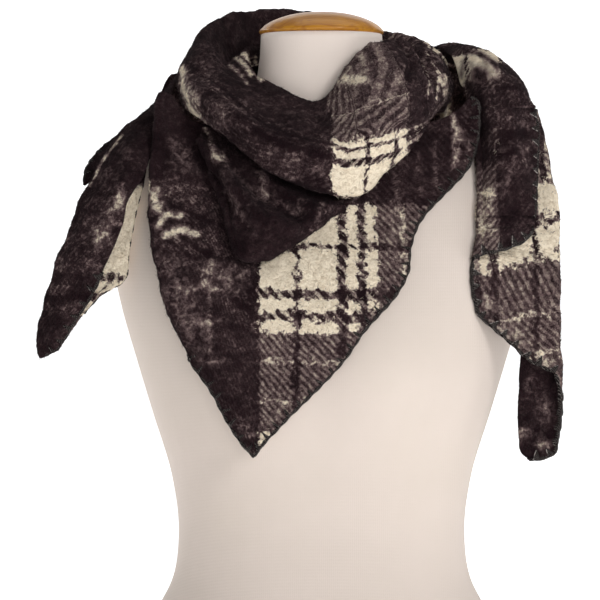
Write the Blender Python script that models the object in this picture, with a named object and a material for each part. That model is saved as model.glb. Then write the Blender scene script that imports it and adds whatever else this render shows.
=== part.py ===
"""A triangle scarf of thick brushed wool, wound round the neck of a limbless dress form.

The form stands on its flat base at z = 0, centred on the origin, and faces -Y. The scarf is built as
one wall for each stretch that shows, laid over the form and over each other from the inside out.
Sizes are in millimetres and the model is in metres, +Z up. Left and right are as seen from the front.
"""

import math

import bpy
import numpy as np

MM = 0.001

# ---------------------------------------------------------------- driving dimensions
CLOTH = 3.0  # thickness of the brushed wool
REST = 0.6  # from the form's skin to cloth that lies on it
ROUNDNESS = 2.35  # power of the form's rounded cross-sections, 2 being an ellipse

FORM_SIDES = 44
FORM_LEVEL_STEP = 28.0
BUST_HEIGHT = 338.0
BUST_SIDE = 64.0  # from the middle to the fullest point of each side
BUST_RISE = 15.0
BUST_SPREAD = 60.0

CAP_SIDES = 32
FLAT_STEP = 12.0  # between the points of a section where it is flat
BEND_STEP = math.radians(36)  # and where it turns

CAP_GAP = 0.3
# The turned cap: radius and height above the neck, from its underside to its crown
CAP = ((52.5, 0.0), (54.2, 0.8), (54.8, 2.6), (54.0, 4.2), (50.0, 8.0), (41.0, 13.0), (29.0, 17.0), (15.0, 19.3))
CAP_CROWN = 20.0
CAP_CROWN_RADIUS = 6.0

# The dress form, one row for each level, base first
FORM_COLUMNS = ("z", "half_width", "front", "back")
FORM = (
    (0, 172.0, 106.0, 120.0),
    (60, 168.0, 110.0, 122.0),
    (120, 147.0, 104.0, 111.0),
    (150, 131.6, 97.0, 101.0),
    (191, 125.5, 92.0, 92.0),
    (240, 131.0, 96.0, 94.0),
    (300, 149.0, 106.0, 101.0),
    (343, 162.0, 112.0, 106.0),
    (396, 177.0, 111.0, 110.0),
    (440, 185.0, 100.0, 112.0),
    (480, 187.0, 84.0, 108.0),
    (505, 181.0, 73.0, 101.0),
    (525, 158.0, 66.0, 92.0),
    (545, 112.0, 60.0, 78.0),
    (562, 76.0, 55.0, 65.0),
    (580, 61.0, 53.0, 58.0),
    (604, 55.0, 52.0, 54.0),
    (629, 53.3, 52.0, 53.0),
)

# The roll round the neck and the collar behind it: an angle from the front, + to the right, then the
# radius and height of the lip at the neck, a dip, a crest, the fullest point and the lower fold
ROLL = (
    (-255, 66, 604, 80, 610, 98, 619, 116, 602, 115, 584),
    (-235, 66, 606, 80, 612, 97, 631, 118, 604, 116, 580),
    (-210, 66, 610, 80, 610, 98, 640, 120, 606, 118, 578),
    (-180, 66, 614, 82, 606, 101, 655, 121, 608, 119, 578),
    (-150, 66, 618, 84, 606, 103, 658, 122, 608, 119, 576),
    (-125, 66, 620, 84, 606, 98, 652, 121, 604, 118, 570),
    (-105, 66, 618, 84, 605, 100, 641, 122, 600, 118, 564),
    (-90, 66, 612, 84, 603, 104, 627, 123, 596, 119, 561),
    (-75, 66, 600, 84, 598, 104, 609, 126, 586, 122, 560),
    (-60, 66, 589, 82, 589, 102, 590, 129, 572, 125, 555),
    (-45, 66, 584, 78, 584, 94, 577, 128, 558, 125, 539),
    (-30, 64, 575, 74, 575, 90, 565, 124, 542, 120, 516),
    (-15, 62, 568, 72, 568, 90, 556, 121, 527, 116, 498),
    (0, 61, 566, 71, 566, 88, 553, 119, 519, 113, 489),
    (12, 62, 578, 71, 583, 85, 574, 119, 518, 112, 483),
    (20, 63, 590, 73, 601, 87, 592, 120, 528, 112, 490),
    (30, 65, 597, 77, 614, 93, 604, 121, 544, 112, 505),
    (42, 66, 600, 83, 618, 99, 607, 121, 562, 113, 526),
    (50, 67, 598, 86, 617, 101, 606, 120, 571, 114, 541),
    (57, 68, 594, 85, 605, 97, 597, 117, 577, 115, 552),
    (64, 70, 597, 89, 613, 105, 606, 118, 586, 115, 561),
    (75, 72, 600, 91, 616, 106, 606, 115, 589, 112, 570),
    (88, 74, 596, 92, 608, 104, 599, 113, 584, 111, 568),
    (98, 76, 590, 90, 600, 102, 592, 112, 578, 110, 562),
)
ROLL_PART_ANGLE = -118  # where the collar behind the neck takes over from the roll
ROLL_RADIUS = 120.0
ROLL_PART_GAP = 1.0  # between the roll and that collar
FOLD_TURN = 4.6  # radius that the cloth turns in at a fold
HALF_TURN_POINTS = 13
ROLL_TURN_POINTS = 9  # how many of them the roll's lower fold takes
ROLL_TUCK = 3.0  # how far the roll's lower fold runs on past its turn
LIP_TUCK = (-1.0, -8.0)  # how the lip turns in and down along the neck

# The other end of the scarf, which starts at the right turn and crosses the back to the left: an
# angle, then the radius and height of its top edge, crest, fullest point and low edge
LOWER = (
    (99, 78, 590, 90, 598, 104, 588, 112, 566),
    (112, 78, 588, 90, 588, 104, 570, 116, 546),
    (140, 84, 590, 93, 584, 104, 560, 117, 526),
    (170, 86, 590, 95, 584, 105, 558, 119, 520),
    (200, 94, 578, 103, 574, 112, 554, 121, 522),
    (222, 110, 564, 120, 564, 133, 549, 143, 524),
    (238, 124, 574, 136, 580, 149, 563, 158, 538),
    (250, 128, 588, 140, 597, 153, 578, 163, 550),
)

# The point that hangs over the chest. Each row gives its edges, how far it hangs out in front at its
# middle, how much of the left edge is turned under, and how far the edges stand off that drape.
BIB_COLUMNS = ("z", "left", "right", "hang", "turned", "left_off", "right_off")
BIB = (
    (265, -63.0, -57.0, 133.5, 0, 0, 0),
    (273, -70.0, -52.0, 133.5, 0, 1, 0),
    (292, -83.0, -34.5, 133.5, 0, 3, 1),
    (324, -100.0, -2.5, 133.0, 1, 5, 1),
    (345, -112.0, 17.0, 132.0, 4, 8, 0),
    (370, -123.0, 34.5, 130.0, 12, 12, 0),
    (404, -137.0, 64.0, 122.0, 30, 14, 0),
    (420, -140.0, 72.0, 116.0, 36, 15, 0),
    (440, -143.0, 74.0, 107.0, 40, 16, 0),
    (468, -147.0, 86.0, 94.0, 42, 16, 0),
    (490, -147.0, 108.0, 84.0, 40, 14, 0),
    (505, -144.0, 127.0, 77.0, 36, 11, 1),
    (518, -142.0, 134.0, 71.0, 30, 8, 5),
    (528, -139.0, 135.0, 66.0, 24, 6, 9),
    (538, -134.0, 134.0, 61.0, 18, 5, 12),
    (546, -128.0, 128.0, 58.0, 12, 4, 13),
)
BIB_LIFTED_FROM = 480.0  # above this height its rows curve up towards the shoulders
BIB_CORNER_RISE = 24.0
BIB_CORNER_POWERS = (12, 7)  # how late the left and the right corner rise
BIB_OFF_POWERS = (3, 6)  # how near to its edge the bib stands off, left and right
BIB_SPREAD = 225.0  # half-width of the curve that the bib hangs in, seen from above

# The slack fold on the bib: its upper edge under the roll and its lower fold, from left to right
SWAG_COLUMNS = ("top_x", "top_z", "low_x", "low_z", "slack")
SWAG = (
    (-103, 546, -107, 534, 1),
    (-99, 546, -104, 526, 2),
    (-90, 542, -97, 511, 5),
    (-78, 535, -85, 481, 10),
    (-64, 526, -79, 451, 14),
    (-48, 516, -66, 430, 15),
    (-34, 507, -48, 430, 13),
    (-20, 500, -31, 439, 11),
    (-6, 491, -12, 452, 9),
    (8, 486, 7, 466, 5),
    (19, 486, 19, 474, 1),
)
SWAG_TOP_LIFT = 5.5  # from the middle of the bib's cloth to that of the fold's upper edge
SWAG_LIFT = 14.5  # and to that of its front, at the lower fold
SWAG_TUCK = 10.0  # how far its lower fold runs back up behind it, at most
SWAG_TUCK_SHARE = 0.25  # and as a share of its height
SWAG_SLACK_POWER = 1.3  # brings its slack nearer to the lower fold

# The end that hangs over the left shoulder: the free edge of its front lap, the folded spine on its
# outer side and the free edge of its back lap, x, y and z each, and how full the front lap is. The
# rows run from behind the shoulder to the tip.
LEFT = (
    (-128, 43.5, 598, -151, 51, 556, -141, 44.5, 550, 1),
    (-133, 12, 577, -156, 18, 557, -142, 10, 550, 2),
    (-136, -18, 562, -164, -12, 550, -146, -18, 545, 3),
    (-140, -46, 545, -176, -34, 538, -150, -42, 534, 5),
    (-147, -66, 524, -186, -50, 522, -152, -54, 518, 7),
    (-155, -79, 501, -198, -60, 499, -154, -60, 499, 8),
    (-167, -84, 481, -208, -65, 479, -158, -63, 483, 8),
    (-172, -87, 459, -218, -67, 452, -163, -65, 460, 8),
    (-179, -88, 441, -228, -68, 426, -167, -66, 436, 7),
    (-187, -86, 424, -236, -68, 399, -170, -65, 414, 5),
    (-199, -82, 398, -242, -67, 374, -191, -65, 400, 4),
    (-214, -77, 376, -245, -66, 357, -211, -64, 377, 3),
    (-228, -71, 354, -241, -65, 347, -227, -62, 354, 1),
)

# The stitched edge that shows behind it, lying on the shoulder: its inner and its outer edge
BEHIND = (
    (-150, 42, 551.6, -168, 48, 547),
    (-154, 21, 550, -182, 26, 539),
    (-162, 2, 541, -196, 4, 526),
    (-172, -12, 530, -206, -10, 510),
    (-180, -22, 514, -207, -20, 497),
)

BEHIND_RISE = 3.0  # of its middle above those edges

# The arch of cloth over the right shoulder, in rows from the nape to the front: x, y and z of its inner
# edge, its crown, its side and its outer edge
ARCH = (
    (16, 113, 568, 16, 114, 565, 17, 116, 560, 17, 117, 554),
    (42, 112, 567, 44, 115, 563, 47, 118, 554, 50, 120, 542),
    (78, 99, 575, 84, 106, 576, 90, 114, 564, 96, 118, 541),
    (93, 80, 616, 104, 84, 621, 121, 97, 590, 132, 104, 547),
    (106, 50, 621, 117, 54, 625, 143, 66, 600, 158, 72, 554),
    (115, 22, 614, 127, 24, 620, 157, 32, 600, 177, 38, 556),
    (119, -6, 602, 134, -6, 614, 166, -2, 599, 185, 4, 560),
    (121, -26, 586, 138, -32, 603, 167, -30, 592, 185, -18, 562),
    (126, -40, 573, 141, -53, 586, 167, -58, 580, 184, -42, 564),
    (131, -46, 563, 143, -60, 563, 166, -67, 563, 184, -54, 563),
)

# The end that hangs from the arch in three laps. Each row gives the outer end of the front lap, the
# inner fold, the outer fold, the inner end of the back lap, the front lap's depth at the inner fold,
# how far it swells forward from there, and how many laps the stitched hem has cut away.
TAIL_COLUMNS = (
    "z", "front_end", "inner_fold", "outer_fold", "back_end", "depth", "swell", "hem",
)
TAIL = (
    (259.5, 196, 150, 200, 178, -94, 0, 2.86),
    (264, 197, 148, 202, 173, -94, 0, 2.52),
    (277, 198, 146, 203, 170, -95, 0, 2.26),
    (290, 200, 143, 204, 169, -96, 0, 2.10),
    (307, 200, 140, 204, 169, -96, 0, 2.02),
    (321, 200, 136, 204, 170, -97, 0, 1.90),
    (332, 200, 134, 204, 170, -97, 0, 1.77),
    (343, 200, 132, 204, 171, -97, 0, 1.60),
    (359, 200, 130, 203, 172, -96, 0, 1.47),
    (371, 200, 129, 203, 172, -96, 0, 1.37),
    (383, 200, 128, 203, 172, -95, 0, 1.27),
    (400, 198, 127, 203, 172, -94, 1, 1.12),
    (420, 190, 128, 203, 172, -92, 2, 1.02),
    (431, 184, 129, 203, 172, -90, 3, 0.97),
    (434, 182, 130, 203, 172, -89, 4, 0.75),
    (438, 181, 131, 203, 171, -88, 5, 0.42),
    (444, 180, 132, 203, 170, -87, 6, 0.16),
    (453, 180, 133, 203, 168, -84, 8, 0.03),
    (475, 182, 134, 202, 166, -77, 12, 0.0),
    (500, 184, 134, 199, 164, -67, 16, 0.0),
    (525, 186, 133, 195, 162, -57, 19, 0.0),
    (545, 186, 131, 190, 160, -50, 20, 0.0),
    (561.2, 184, 129, 186, 158, -46, 21, 0.0),
)
TAIL_TURN = 5.0
TAIL_STEP = 16.0  # between its levels
HEM_STEP = 9.0  # and where the hem crosses them
HEM_CHANGE = 0.06  # laps from one row to the next, from which the hem counts as crossing
HEM_BEND = 3.0  # how much less the points crowd at its turns, for each lap that is cut away
SWELL_SKEW = 0.8  # brings the front lap's swell nearer to the inner fold
SWELL_POWER = 1.2

# Points of each grid, along its course and across it. A row that is made of parts has one number each.
ROLL_ALONG, COLLAR_ALONG = 34, 22
ROLL_ROW = (11, 4, 2)
LOWER_ALONG, LOWER_ACROSS = 34, 9
BIB_ALONG, BIB_ACROSS = 22, 22
SWAG_ALONG = 22
SWAG_ROW = (9, 6, 3)
LEFT_ALONG = 26
LEFT_ROW = (7, 6, 4)
BEHIND_ALONG, BEHIND_ACROSS = 12, 6
ARCH_ALONG, ARCH_ACROSS = 22, 11
TAIL_ACROSS = 25
DRAWN = 60  # points of a curve before it is resampled

COLOURS = {
    "jersey": (0.76, 0.70, 0.62),
    "wood": (0.46, 0.22, 0.06),
    "wool": (0.045, 0.035, 0.038),
}


# ---------------------------------------------------------------- curves and tables
def columns(names, rows):
    """The rows of a table as one array for each named column."""
    return dict(zip(names, np.array(rows, float).T))


def smooth(at, knots, values):
    """A smooth curve through values at rising knots: cubic pieces, flat where the values turn."""
    knots = np.asarray(knots, float)
    values = np.asarray(values, float)
    steps = np.diff(knots)
    slopes = np.diff(values) / steps
    inner = (slopes[:-1] * steps[1:] + slopes[1:] * steps[:-1]) / (steps[:-1] + steps[1:])
    tangents = np.concatenate([slopes[:1], inner, slopes[-1:]])
    at = np.clip(at, knots[0], knots[-1])
    i = np.clip(np.searchsorted(knots, at, side="right") - 1, 0, len(steps) - 1)
    h = steps[i]
    t = (at - knots[i]) / h
    return (
        values[i] * (1 + 2 * t) * (1 - t) ** 2
        + h * tangents[i] * t * (1 - t) ** 2
        + values[i + 1] * t * t * (3 - 2 * t)
        + h * tangents[i + 1] * t * t * (t - 1)
    )


def smooth_rows(at, knots, rows):
    """smooth() for every number of an array whose first axis follows the knots."""
    flat = np.asarray(rows, float).reshape(len(rows), -1)
    out = np.stack([smooth(at, knots, column) for column in flat.T], axis=-1)
    return out.reshape((len(at),) + np.asarray(rows).shape[1:])


def unit(vector):
    """The vector at length 1."""
    return vector / np.linalg.norm(vector)


def chord_knots(rows):
    """Knots for a run of sections, spaced by how far apart the sections lie on average."""
    gaps = np.linalg.norm(np.diff(rows, axis=0), axis=-1).mean(axis=-1)
    return np.concatenate([[0.0], np.cumsum(np.maximum(gaps, 1e-6))])


def resample(line, count, bend_step=BEND_STEP):
    """A line of points with the same course, its points closer together where it bends."""
    steps = np.diff(line, axis=0)
    lengths = np.linalg.norm(steps, axis=1)
    kept = lengths > 1e-6
    line = np.concatenate([line[:1], line[1:][kept]])
    steps, lengths = steps[kept], lengths[kept]
    heading = steps / lengths[:, None]
    bends = np.arccos(np.clip((heading[1:] * heading[:-1]).sum(axis=1), -1, 1))
    bends = np.concatenate([[0.0], bends]) + np.concatenate([bends, [0.0]])
    knots = np.concatenate([[0.0], np.cumsum(lengths / FLAT_STEP + bends / 2 / bend_step)])
    at = np.linspace(0.0, knots[-1], count)
    return np.stack([np.interp(at, knots, axis) for axis in line.T], axis=-1)


def section(points, count):
    """A smooth line through a section's points, at equal steps along it."""
    points = np.asarray(points, float)
    knots = chord_knots(points[:, None, :])
    fine = smooth_rows(np.linspace(0.0, knots[-1], 8 * len(points)), knots, points)
    return resample(fine, count)


def joined(*parts):
    """One line from parts that follow each other, each a line and how many points it gets."""
    line = []
    for points, count in parts:
        knots = chord_knots(np.asarray(points, float)[:, None, :])
        at = np.linspace(0.0, knots[-1], count)
        part = np.stack([np.interp(at, knots, axis) for axis in np.transpose(points)], axis=-1)
        line.extend(part if not line else part[1:])
    return np.array(line)


def half_turn(centre, start, middle):
    """A half circle of points round a centre, given as its radii to its start and its middle."""
    swing = np.linspace(0.0, math.pi, HALF_TURN_POINTS)[:, None]
    return np.asarray(centre) + np.cos(swing) * np.asarray(start) + np.sin(swing) * np.asarray(middle)


def loft_lines(lines, along):
    """A grid over a run of lines that have as many points as each other."""
    lines = np.asarray(lines)
    knots = chord_knots(lines)
    return smooth_rows(np.linspace(0.0, knots[-1], along), knots, lines)


def loft(sections, along, across):
    """A grid over a run of sections, each a list of as many points as the others."""
    return loft_lines([section(points, across) for points in sections], along)


# ---------------------------------------------------------------- the form, as a shape to lie on
def signed_power(value, power):
    """The power of a value's size, with the value's sign."""
    return np.sign(value) * np.abs(value) ** power


def bust(x, z):
    """How far the chest stands out in front of the plain torso."""
    away = (np.abs(x) - BUST_SIDE) ** 2 + (z - BUST_HEIGHT) ** 2
    return BUST_RISE * np.exp(-away / BUST_SPREAD**2)


def form_levels(z):
    """Half-width, front depth and back depth of the torso at heights z."""
    form = columns(FORM_COLUMNS, FORM)
    return [smooth(z, form["z"], form[name]) for name in FORM_COLUMNS[1:]]


def form_level_of(points):
    """1 on the form's skin, more outside and less inside."""
    x, y, z = np.moveaxis(points, -1, 0)
    half_width, front, back = form_levels(z)
    depth = np.where(y < 0, front + bust(x, z), back)
    return (np.abs(x / half_width) ** ROUNDNESS + np.abs(y / depth) ** ROUNDNESS) ** (1 / ROUNDNESS)


def laid_on_form(points, gap=REST + CLOTH / 2, step=0.5, rounds=6):
    """The points, those nearer to the form's skin than the gap moved out square to it."""
    for _ in range(rounds):
        level = form_level_of(points)
        slope = np.stack(
            [(form_level_of(points + step * axis) - level) / step for axis in np.eye(3)], axis=-1
        )
        size = np.linalg.norm(slope, axis=-1)
        short = np.maximum(gap - (level - 1) / size, 0.0)
        short = np.where(points[..., 2] > FORM[-1][0], 0.0, short)
        points = points + (short / size)[..., None] * slope
    return points


# ---------------------------------------------------------------- walls of cloth
def grid_normals(grid):
    """Unit normals of a grid of points, from its slopes along and across."""
    normals = np.cross(np.gradient(grid, axis=0), np.gradient(grid, axis=1))
    return normals / np.maximum(np.linalg.norm(normals, axis=-1, keepdims=True), 1e-9)


def grid_faces(rows, across, start):
    """Corner numbers of the faces of a grid of points."""
    index = start + np.arange(rows * across).reshape(rows, across)
    return np.stack([index[:-1, :-1], index[:-1, 1:], index[1:, 1:], index[1:, :-1]], axis=-1).reshape(-1, 4)


def rim_faces(rows, across):
    """Faces that close the rim between the two sides of a wall."""
    index = np.arange(rows * across).reshape(rows, across)
    ring = np.concatenate([index[0, :-1], index[:-1, -1], index[-1, :0:-1], index[:0:-1, 0]])
    ahead = np.roll(ring, -1)
    other = rows * across
    return np.stack([ahead, ring, ring + other, ahead + other], axis=-1)


def cloth_wall(name, grid, turned=False):
    """A wall of cloth with the grid at its middle."""
    if turned:
        grid = grid[::-1]
    rows, across = grid.shape[:2]
    out = grid_normals(grid) * CLOTH / 2
    points = np.concatenate([(grid + out).reshape(-1, 3), (grid - out).reshape(-1, 3)])
    faces = np.concatenate(
        [
            grid_faces(rows, across, 0)[:, ::-1],
            grid_faces(rows, across, rows * across),
            rim_faces(rows, across)[:, ::-1],
        ]
    )
    return add_object(name, points, faces.tolist(), "wool", 0.95)


def add_object(name, points, faces, colour, roughness):
    """A mesh object from points in millimetres, with a material of its own."""
    mesh = bpy.data.meshes.new(name)
    mesh.from_pydata((np.asarray(points) * MM).tolist(), [], faces)
    mesh.update()
    mesh.shade_smooth()
    material = bpy.data.materials.new(name)
    material.use_nodes = True
    shader = material.node_tree.nodes["Principled BSDF"]
    shader.inputs["Base Color"].default_value = (*COLOURS[colour], 1.0)
    shader.inputs["Roughness"].default_value = roughness
    shader.inputs["Metallic"].default_value = 0.0
    mesh.materials.append(material)
    item = bpy.data.objects.new(name, mesh)
    bpy.context.collection.objects.link(item)
    return item


def closed_tower(rings, sides):
    """Points and faces of a solid of rings, base first, closed by a flat face at each end."""
    points = np.concatenate(rings)
    faces = []
    for level in range(len(rings) - 1):
        for side in range(sides):
            ahead = (side + 1) % sides
            low = level * sides
            faces.append((low + side, low + ahead, low + sides + ahead, low + sides + side))
    last = (len(rings) - 1) * sides
    faces.append(tuple(range(sides - 1, -1, -1)))
    faces.append(tuple(range(last, last + sides)))
    return points, faces


# ---------------------------------------------------------------- the pieces
def build_form():
    """The torso: rings of a rounded oval, from the flat base up to the neck."""
    levels = np.array([row[0] for row in FORM], float)
    fine = []
    for low, high in zip(levels[:-1], levels[1:]):
        count = max(1, round((high - low) / FORM_LEVEL_STEP))
        fine.extend(np.linspace(low, high, count, endpoint=False))
    fine.append(levels[-1])
    turn = np.arange(FORM_SIDES) * 2 * math.pi / FORM_SIDES
    rings = []
    for z in fine:
        half_width, front, back = (float(size) for size in form_levels(np.array(z)))
        x = half_width * signed_power(np.cos(turn), 2 / ROUNDNESS)
        depth = np.where(np.sin(turn) < 0, front + bust(x, z), back)
        y = depth * signed_power(np.sin(turn), 2 / ROUNDNESS)
        rings.append(np.stack([x, y, np.full(FORM_SIDES, z)], axis=-1))
    return add_object("form_body", *closed_tower(rings, FORM_SIDES), "jersey", 0.85)


def build_cap():
    """The cap: its profile turned round the neck's axis."""
    turn = np.arange(CAP_SIDES) * 2 * math.pi / CAP_SIDES
    base = FORM[-1][0] + CAP_GAP
    rings = []
    for radius, rise in (*CAP, (CAP_CROWN_RADIUS, CAP_CROWN)):
        ring = [radius * np.cos(turn), radius * np.sin(turn), np.full(CAP_SIDES, base + rise)]
        rings.append(np.stack(ring, axis=-1))
    return add_object("neck_cap", *closed_tower(rings, CAP_SIDES), "wood", 0.3)


def round_neck(angle, radius, z):
    """The point at an angle from the front, + to the right, at a radius from the neck's middle."""
    turn = math.radians(angle)
    return (radius * math.sin(turn), -radius * math.cos(turn), z)


def roll_section(row):
    """The roll's section at one angle, its lower fold turned in by two thirds of a half turn."""
    angle, lip_r, lip_z, *pairs = row
    fold_r, fold_z = pairs[-2:]
    line = [(lip_r + LIP_TUCK[0], lip_z + LIP_TUCK[1]), (lip_r, lip_z)]
    line += list(zip(pairs[:-2:2], pairs[1:-2:2]))
    line.append((fold_r, fold_z + FOLD_TURN))
    line = section([(r, 0.0, z) for r, z in line], ROLL_ROW[0])
    turn = half_turn((fold_r - FOLD_TURN, 0.0, fold_z + FOLD_TURN), (FOLD_TURN, 0, 0), (0, 0, -FOLD_TURN))
    last = ROLL_TURN_POINTS - 1
    tuck = turn[last] + np.outer((0.0, ROLL_TUCK), unit(turn[last + 1] - turn[last - 1]))
    line = joined((line, ROLL_ROW[0]), (turn[:ROLL_TURN_POINTS], ROLL_ROW[1]), (tuck, ROLL_ROW[2]))
    return [round_neck(angle, r, z) for r, _, z in line]


def ring_grid(lines, angles, first, last, along):
    """A grid over lines that stand round the neck, from one angle to another."""
    lines = np.asarray(lines)
    radius = np.hypot(lines[..., 0], lines[..., 1])
    turn = np.radians(np.asarray(angles, float))
    swing = np.arctan2(lines[..., 0], -lines[..., 1]) - turn[:, None]
    swing = (swing + math.pi) % (2 * math.pi) - math.pi
    polar = np.stack([turn[:, None] + swing, radius, lines[..., 2]], axis=-1)
    at = np.radians(np.linspace(first, last, along))
    turns, radii, heights = np.moveaxis(smooth_rows(at, turn, polar), -1, 0)
    return np.stack([radii * np.sin(turns), -radii * np.cos(turns), heights], axis=-1)


def build_roll():
    """The roll across the throat and the collar that carries on behind the neck."""
    lines = [roll_section(row) for row in ROLL]
    angles = [row[0] for row in ROLL]
    seam = math.degrees(ROLL_PART_GAP / 2 / ROLL_RADIUS)
    front = ring_grid(lines, angles, ROLL_PART_ANGLE + seam, angles[-1], ROLL_ALONG)
    back = ring_grid(lines, angles, angles[0], ROLL_PART_ANGLE - seam, COLLAR_ALONG)
    cloth_wall("scarf_neck_roll", laid_on_form(front))
    cloth_wall("scarf_back_upper", laid_on_form(back))


def build_lower():
    """The other end, across the back."""
    lines = []
    for angle, *pairs in LOWER:
        points = [round_neck(angle, r, z) for r, z in zip(pairs[::2], pairs[1::2])]
        lines.append(section(points, LOWER_ACROSS))
    angles = [row[0] for row in LOWER]
    grid = ring_grid(lines, angles, angles[0], angles[-1], LOWER_ALONG)
    cloth_wall("scarf_back_lower", laid_on_form(grid))


def bib_depth(x, z, lift=0.0):
    """Depth of the bib's drape at a place on it, a lift bringing it further forward."""
    bib = columns(BIB_COLUMNS, BIB)
    hang = smooth(z, bib["z"], bib["hang"])
    left = smooth(z, bib["z"], bib["left"])
    right = smooth(z, bib["z"], bib["right"])
    across = np.clip((x - left) / (right - left), 0, 1)
    off = smooth(z, bib["z"], bib["left_off"]) * (1 - across) ** BIB_OFF_POWERS[0]
    off = off + smooth(z, bib["z"], bib["right_off"]) * across ** BIB_OFF_POWERS[1]
    return -(hang * np.sqrt(1 - (x / BIB_SPREAD) ** 2) + off + lift)


def bib_row(z, count):
    """A level of the bib: what is turned under on its left, a round turn, and its front."""
    bib = columns(BIB_COLUMNS, BIB)
    left, right, turned = (float(smooth(z, bib["z"], bib[name])) for name in ("left", "right", "turned"))
    x = np.linspace(left + FOLD_TURN, right, DRAWN)
    front = np.stack([x, bib_depth(x, z), np.full(DRAWN, z)], axis=-1)
    if turned < 0.5:
        return resample(front, count)
    start = front[0]
    arc = min(turned / FOLD_TURN, math.pi)
    swing = np.linspace(arc, 0.0, HALF_TURN_POINTS - 1, endpoint=False)
    curl = start + FOLD_TURN * np.stack([-np.sin(swing), 1 - np.cos(swing), 0 * swing], axis=-1)
    rest = max(turned - math.pi * FOLD_TURN, 0.0)
    if rest > 1:
        run = start[0] + np.linspace(rest, 0.0, DRAWN // 6, endpoint=False)
        under = np.stack([run, bib_depth(run, z) + 2 * FOLD_TURN, np.full(len(run), z)], axis=-1)
        curl = np.concatenate([under, curl])
    return resample(np.concatenate([curl, front]), count)


def build_bib():
    """The point over the chest, its upper corners curving up to the shoulders."""
    heights = np.linspace(BIB[0][0], BIB[-1][0], BIB_ALONG)
    grid = np.array([bib_row(z, BIB_ACROSS) for z in heights])
    share = np.clip((grid[..., 2] - BIB_LIFTED_FROM) / (BIB[-1][0] - BIB_LIFTED_FROM), 0, 1)
    side = np.abs(grid[..., 0]) / BIB[-1][2]
    power = np.where(grid[..., 0] < 0, *BIB_CORNER_POWERS)
    grid[..., 2] += BIB_CORNER_RISE * share * side**power
    cloth_wall("scarf_bib", laid_on_form(grid), turned=True)


def build_swag():
    """The slack fold on the bib: its front, the round turn at its foot and a tuck behind it."""
    swag = columns(SWAG_COLUMNS, SWAG)
    lines = []
    courses = zip(np.gradient(swag["low_x"]), np.gradient(swag["low_z"]))
    for (top_x, top_z, low_x, low_z, slack), course in zip(SWAG, courses):
        course_x, course_z = unit(np.array(course))
        outward = FOLD_TURN * np.array((course_z, 0.0, -course_x))
        share = np.linspace(0.0, 1.0, DRAWN)
        x = top_x + (low_x - outward[0] - top_x) * share
        z = top_z + (low_z - outward[2] - top_z) * share
        lift = SWAG_TOP_LIFT + (SWAG_LIFT - SWAG_TOP_LIFT) * share
        lift = lift + slack * np.sin(math.pi * share**SWAG_SLACK_POWER)
        front = np.stack([x, [float(bib_depth(*at)) for at in zip(x, z, lift)], z], axis=-1)
        centre = front[-1] + (0, FOLD_TURN, 0)
        turn = half_turn(centre, (0, -FOLD_TURN, 0), outward)
        tuck_share = min(SWAG_TUCK, (top_z - low_z) * SWAG_TUCK_SHARE) / FOLD_TURN
        tuck = np.array([turn[-1], turn[-1] - tuck_share * outward])
        lines.append(joined(*zip((front, turn, tuck), SWAG_ROW)))
    cloth_wall("scarf_middle_fold", loft_lines(lines, SWAG_ALONG))


def build_left_tail():
    """The end over the left shoulder: a front lap, a round turn at its spine and a back lap."""
    lines = []
    for *corners, fullness in LEFT:
        front, spine, back = np.array(corners, float).reshape(3, 3)
        inward = unit((front + back) / 2 - spine)
        outward = unit((front - back) - ((front - back) @ inward) * inward)
        centre = spine + FOLD_TURN * inward
        turn = half_turn(centre, FOLD_TURN * outward, -FOLD_TURN * inward)
        share = np.linspace(0.0, 1.0, DRAWN)[:, None]
        lap = front + (turn[0] - front) * share + fullness * np.sin(math.pi * share) * outward
        lines.append(joined(*zip((lap, turn, np.array([turn[-1], back])), LEFT_ROW)))
    cloth_wall("scarf_left_tail", laid_on_form(loft_lines(lines, LEFT_ALONG)), turned=True)


def build_left_behind():
    """The edge behind the left end."""
    sections = []
    for row in BEHIND:
        inner, outer = np.array(row, float).reshape(2, 3)
        sections.append([inner, (inner + outer) / 2 + (0, 0, BEHIND_RISE), outer])
    cloth_wall("scarf_left_behind", laid_on_form(loft(sections, BEHIND_ALONG, BEHIND_ACROSS)))


def build_arch():
    """The arch over the right shoulder."""
    sections = np.array(ARCH, float).reshape(len(ARCH), 4, 3)
    grid = loft(sections, ARCH_ALONG, ARCH_ACROSS)
    cloth_wall("scarf_right_shoulder", laid_on_form(grid), turned=True)


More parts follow.
